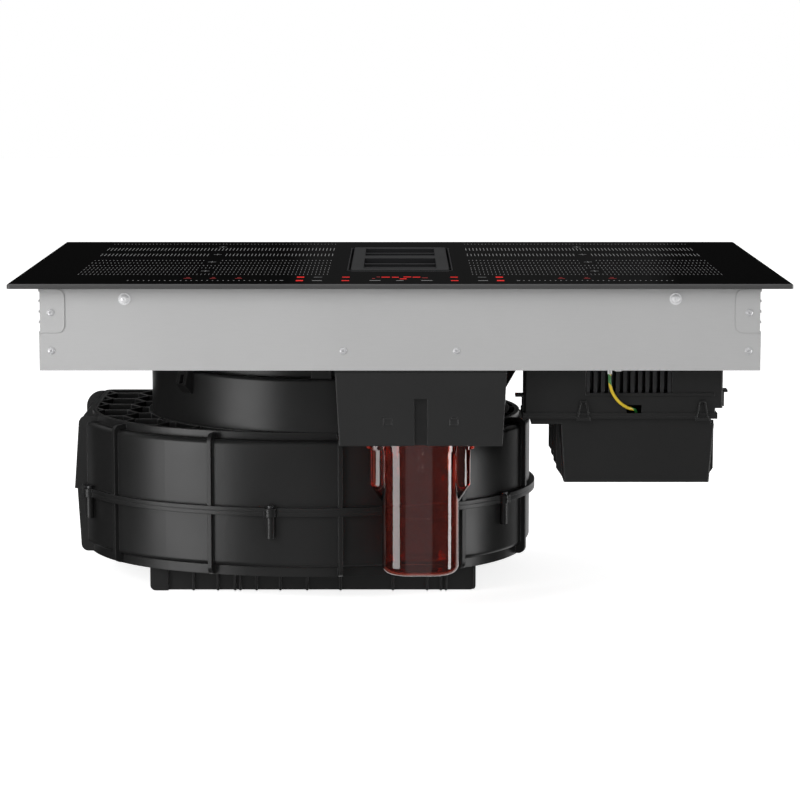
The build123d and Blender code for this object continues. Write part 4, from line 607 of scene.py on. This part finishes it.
def zone_marks(rows):
    """The marks of both zones for these rows."""
    marks = []
    pitch = (ZONE_OUTER - ZONE_INNER) / (ZONE_COLUMNS - 1)
    for side in (-1, 1):
        for column in range(ZONE_COLUMNS):
            x = ZONE_INNER + column * pitch
            for y, length in rows:
                near = min(abs(y - cross) for cross in CROSS_Y) < CROSS_CLEAR
                if near and abs(x - CROSS_X) < CROSS_ARM:
                    continue
                marks.append((side * x, y, MARK_WIDTH, length))
    return marks


crosses = []
for side in (-1, 1):
    for y in CROSS_Y:
        for shift, width, length in CROSS_STROKES:
            crosses.append((side * CROSS_X, y + shift, width, length))
printed("zone_print", zone_marks(BRIGHT_ROWS), grey_ink)
printed("front_print", zone_marks(DIM_ROWS) + crosses, dim_ink)

# %% [markdown]
# ### Touch controls
#
# Each zone has a slider of dots with three signs over it and a lit level beside it. The middle
# holds the extractor's lit signs. All are plain bars, as in a segment display.

# %% Touch controls
SLIDER_Y = -221
SLIDER_START = 122
SLIDER_DOTS = 30
SLIDER_PITCH = 5.46
DOT_WIDTH = 1.4
FIRST_DOT_WIDTH = 3.6
KEY_LENGTH = 4
SIGN_Y = -194
SIGN_STEP = 5
ARC_LENGTH = 7
# X and width
SIGNS = ((167.4, 7), (194, 6.5), (220.4, 8))
MIDDLE_KEYS = ((-25.7, 11.3), (-0.2, 7.7), (27.7, 11.3))
# the lit level, and a sign nearer the middle, each in two rows: X, width and length
BAR_ROWS = (-185, -222)
LIT_BARS = ((103.5, 7.5, 11), (56.3, 7.8, 7))
# two grey lines between those: X, Y, width and length
GREY_LINES = ((85.5, -185, 9, 2.5), (85.5, -222, 10, 4))
# the arcs of the extractor's sign, seen edge on: X, Y and width
LIT_ARCS = (
    (-15, -185, 8.7), (-4.8, -186, 7), (3.3, -203, 7), (7.7, -183, 8), (17.2, -185, 8),
)
DIM_ARCS = ((-27.5, -200, 3), (-22.7, -183, 3.5), (25.8, -192, 6))

grey_marks = []
dim_marks = []
lit_marks = []
for side in (-1, 1):
    for dot in range(SLIDER_DOTS):
        x = SLIDER_START + dot * SLIDER_PITCH
        width = FIRST_DOT_WIDTH if dot == 0 else DOT_WIDTH
        grey_marks.append((side * x, SLIDER_Y, width, KEY_LENGTH))
    for x, width in SIGNS:
        dim_marks.append((side * x, SIGN_Y + SIGN_STEP, width * 0.5, KEY_LENGTH))
        dim_marks.append((side * x, SIGN_Y - SIGN_STEP, width, KEY_LENGTH))
    for y in BAR_ROWS:
        for x, width, length in LIT_BARS:
            lit_marks.append((side * x, y, width, length))
    for x, y, width, length in GREY_LINES:
        grey_marks.append((side * x, y, width, length))
for x, width in MIDDLE_KEYS:
    grey_marks.append((x, SLIDER_Y, width, KEY_LENGTH))
for x, y, width in LIT_ARCS:
    lit_marks.append((x, y, width, ARC_LENGTH))
for x, y, width in DIM_ARCS:
    dim_marks.append((x, y, width, ARC_LENGTH))
printed("slider_print", grey_marks, grey_ink)
printed("small_signs", dim_marks, dim_red)
printed("lit_signs", lit_marks, red_light)

# %% [markdown]
# ## The studio
#
# The object stands on a pale floor before a white backdrop. The world is white to the eye of
# the camera, so the backdrop needs no lamp, and much dimmer as light, so the lamps model the
# form. Black plastic and clear acrylic show mostly what they mirror, so what is mirrored is made
# for them: a world that is bright overhead, grey towards the front and nearly black behind, with
# three patches of light, or cards, in it. One is in front. A wide one lies behind and below the
# horizon, so the top of the glass doesn't mirror it. The third, behind and above the horizon, is
# faint and narrow and meant for the glass. The floor isn't mirrored, or it would cut them off.

# %% Floor and world
FLOOR_Z = cad_bounds[0][2]
FLOOR_GAP = 0.0005
FLOOR_RADIUS = 9
FLOOR_SIDES = 96
FLOOR_GLOW = 0.8
WORLD_LIGHT = 0.36
MIRRORED_ABOVE = 0.9
MIRRORED_FRONT = 0.12
MIRRORED_BACK = 0.006
# azimuth and half width in degrees, and brightness
FRONT_CARD = (-6, 15, 0.47)
LOW_CARD = (165, 40, 0.9)
BACK_CARD = (178.3, 4, 0.012)
# how high the low card reaches, and the share of a card's width that is fully bright
LOW_CARD_TOP = -0.03
CARD_CORE = 0.85


def stage_floor():
    """A pale floor that the camera sees nearly white."""
    made = bmesh.new()
    bmesh.ops.create_circle(made, cap_ends=True, segments=FLOOR_SIDES, radius=FLOOR_RADIUS)
    data = bpy.data.meshes.new("studio_floor")
    made.to_mesh(data)
    made.free()
    floor = bpy.data.objects.new("studio_floor", data)
    floor.location = (0, 0, FLOOR_Z - FLOOR_GAP)
    floor.visible_glossy = False
    bpy.context.scene.collection.objects.link(floor)
    material, wire = new_finish("studio_paper")
    paper = noise(wire, 500)
    seen = wire.node("LightPath", {}, {}, "Is Camera Ray")
    close_finish(
        wire,
        {
            "Base Color": between(wire, paper, grey(0.78), grey(0.82)),
            "Roughness": 0.9,
            "Emission Color": between(wire, seen, grey(0.0), grey(FLOOR_GLOW)),
            "Emission Strength": 1.0,
        },
    )
    data.materials.append(material)


def card(wire, across, depth, azimuth, half_width, level):
    """How bright a tall card is towards a direction; azimuth 0 is the front, 90 the right."""
    place = math.radians(azimuth)
    facing = across * math.sin(place) - depth * math.cos(place)
    edge = math.cos(math.radians(half_width))
    core = math.cos(math.radians(half_width * CARD_CORE))
    inputs = {"Value": facing, "From Min": edge, "From Max": core, "To Max": level}
    return wire.node("MapRange", {}, inputs)


def studio_world():
    """White to the camera, a mirrored room to glossy rays, and a dim even light to the rest."""
    world = bpy.data.worlds.new("studio_world")
    bpy.context.scene.world = world
    world.use_nodes = True
    world.node_tree.nodes.clear()
    wire = Wire(world.node_tree)
    seen = wire.node("LightPath", {}, {}, "Is Camera Ray")
    gloss = wire.node("LightPath", {}, {}, "Is Glossy Ray")
    where = wire.node("TexCoord", {}, {}, "Generated")
    east, north, height = [wire.node("SeparateXYZ", {}, {"Vector": where}, axis) for axis in "XYZ"]
    flat = wire.maths("SQRT", wire.maths("MAXIMUM", east * east + north * north, 0.0001), 0)
    across = east / flat
    depth = north / flat
    overhead = wire.node("MapRange", {}, {"Value": height, "From Min": 0.3, "From Max": 0.8})
    front = wire.node("MapRange", {}, {"Value": 0 - depth, "From Min": -0.3, "From Max": 0.5})
    ahead = card(wire, across, depth, *FRONT_CARD)
    below = (height < LOW_CARD_TOP) * card(wire, across, depth, *LOW_CARD)
    behind = (height > 0) * card(wire, across, depth, *BACK_CARD)
    room = MIRRORED_BACK + front * MIRRORED_FRONT + overhead * MIRRORED_ABOVE
    mirrored = room + ahead + below + behind
    level = seen + (1 - seen) * (gloss * mirrored + (1 - gloss) * WORLD_LIGHT)
    background = wire.node("Background", {}, {"Color": grey(1), "Strength": level})
    wire.node("OutputWorld", {}, {"Surface": background})


stage_floor()
studio_world()
print("floor at", round(FLOOR_Z, 4))

# %% [markdown]
# ### Lamps
#
# Four soft lamps light the object: a large one at the front left, a weaker one at the front
# right, one at the left side and one overhead. None of them is mirrored, because a shiny black
# wall would show it as a spot. Two more are only mirrored: cards that light nothing, stand low
# at the left and right, and draw the long highlights on the drum, the neck and the cup. They
# end just under the glass, so that its top mirrors neither of them.

# %% Lamps
LAMP_AIM = (0, 0, -0.12)


def soft_lamp(name, place, width, height, power, mirrored=False, aim=LAMP_AIM):
    """A soft lamp that looks at the object; it either lights it or is mirrored in it."""
    data = bpy.data.lights.new(name, "AREA")
    data.shape = "RECTANGLE"
    data.size = width
    data.size_y = height
    data.energy = power
    lamp = bpy.data.objects.new(name, data)
    lamp.location = place
    lamp.visible_glossy = mirrored
    lamp.visible_diffuse = not mirrored
    lamp.visible_camera = False
    towards = Vector(aim) - Vector(place)
    lamp.rotation_euler = towards.to_track_quat("-Z", "Y").to_euler()
    bpy.context.scene.collection.objects.link(lamp)


soft_lamp("key_lamp", (-1.9, -1.9, 0.7), 0.9, 1.5, 38)
soft_lamp("fill_lamp", (1.6, -2.6, 0.6), 1.2, 1.2, 20)
soft_lamp("side_lamp", (-2.6, -0.1, -0.05), 0.5, 0.9, 6)
soft_lamp("top_lamp", (0, 0.3, 2.2), 1.6, 1.2, 18)
soft_lamp("left_card", (-1.3, -0.95, -0.36), 0.85, 0.7, 12, True, (0, -0.1, -0.36))
soft_lamp("right_card", (1.0, -0.3, -0.34), 0.25, 0.66, 5.2, True, (0, -0.25, -0.34))
print("six lamps")
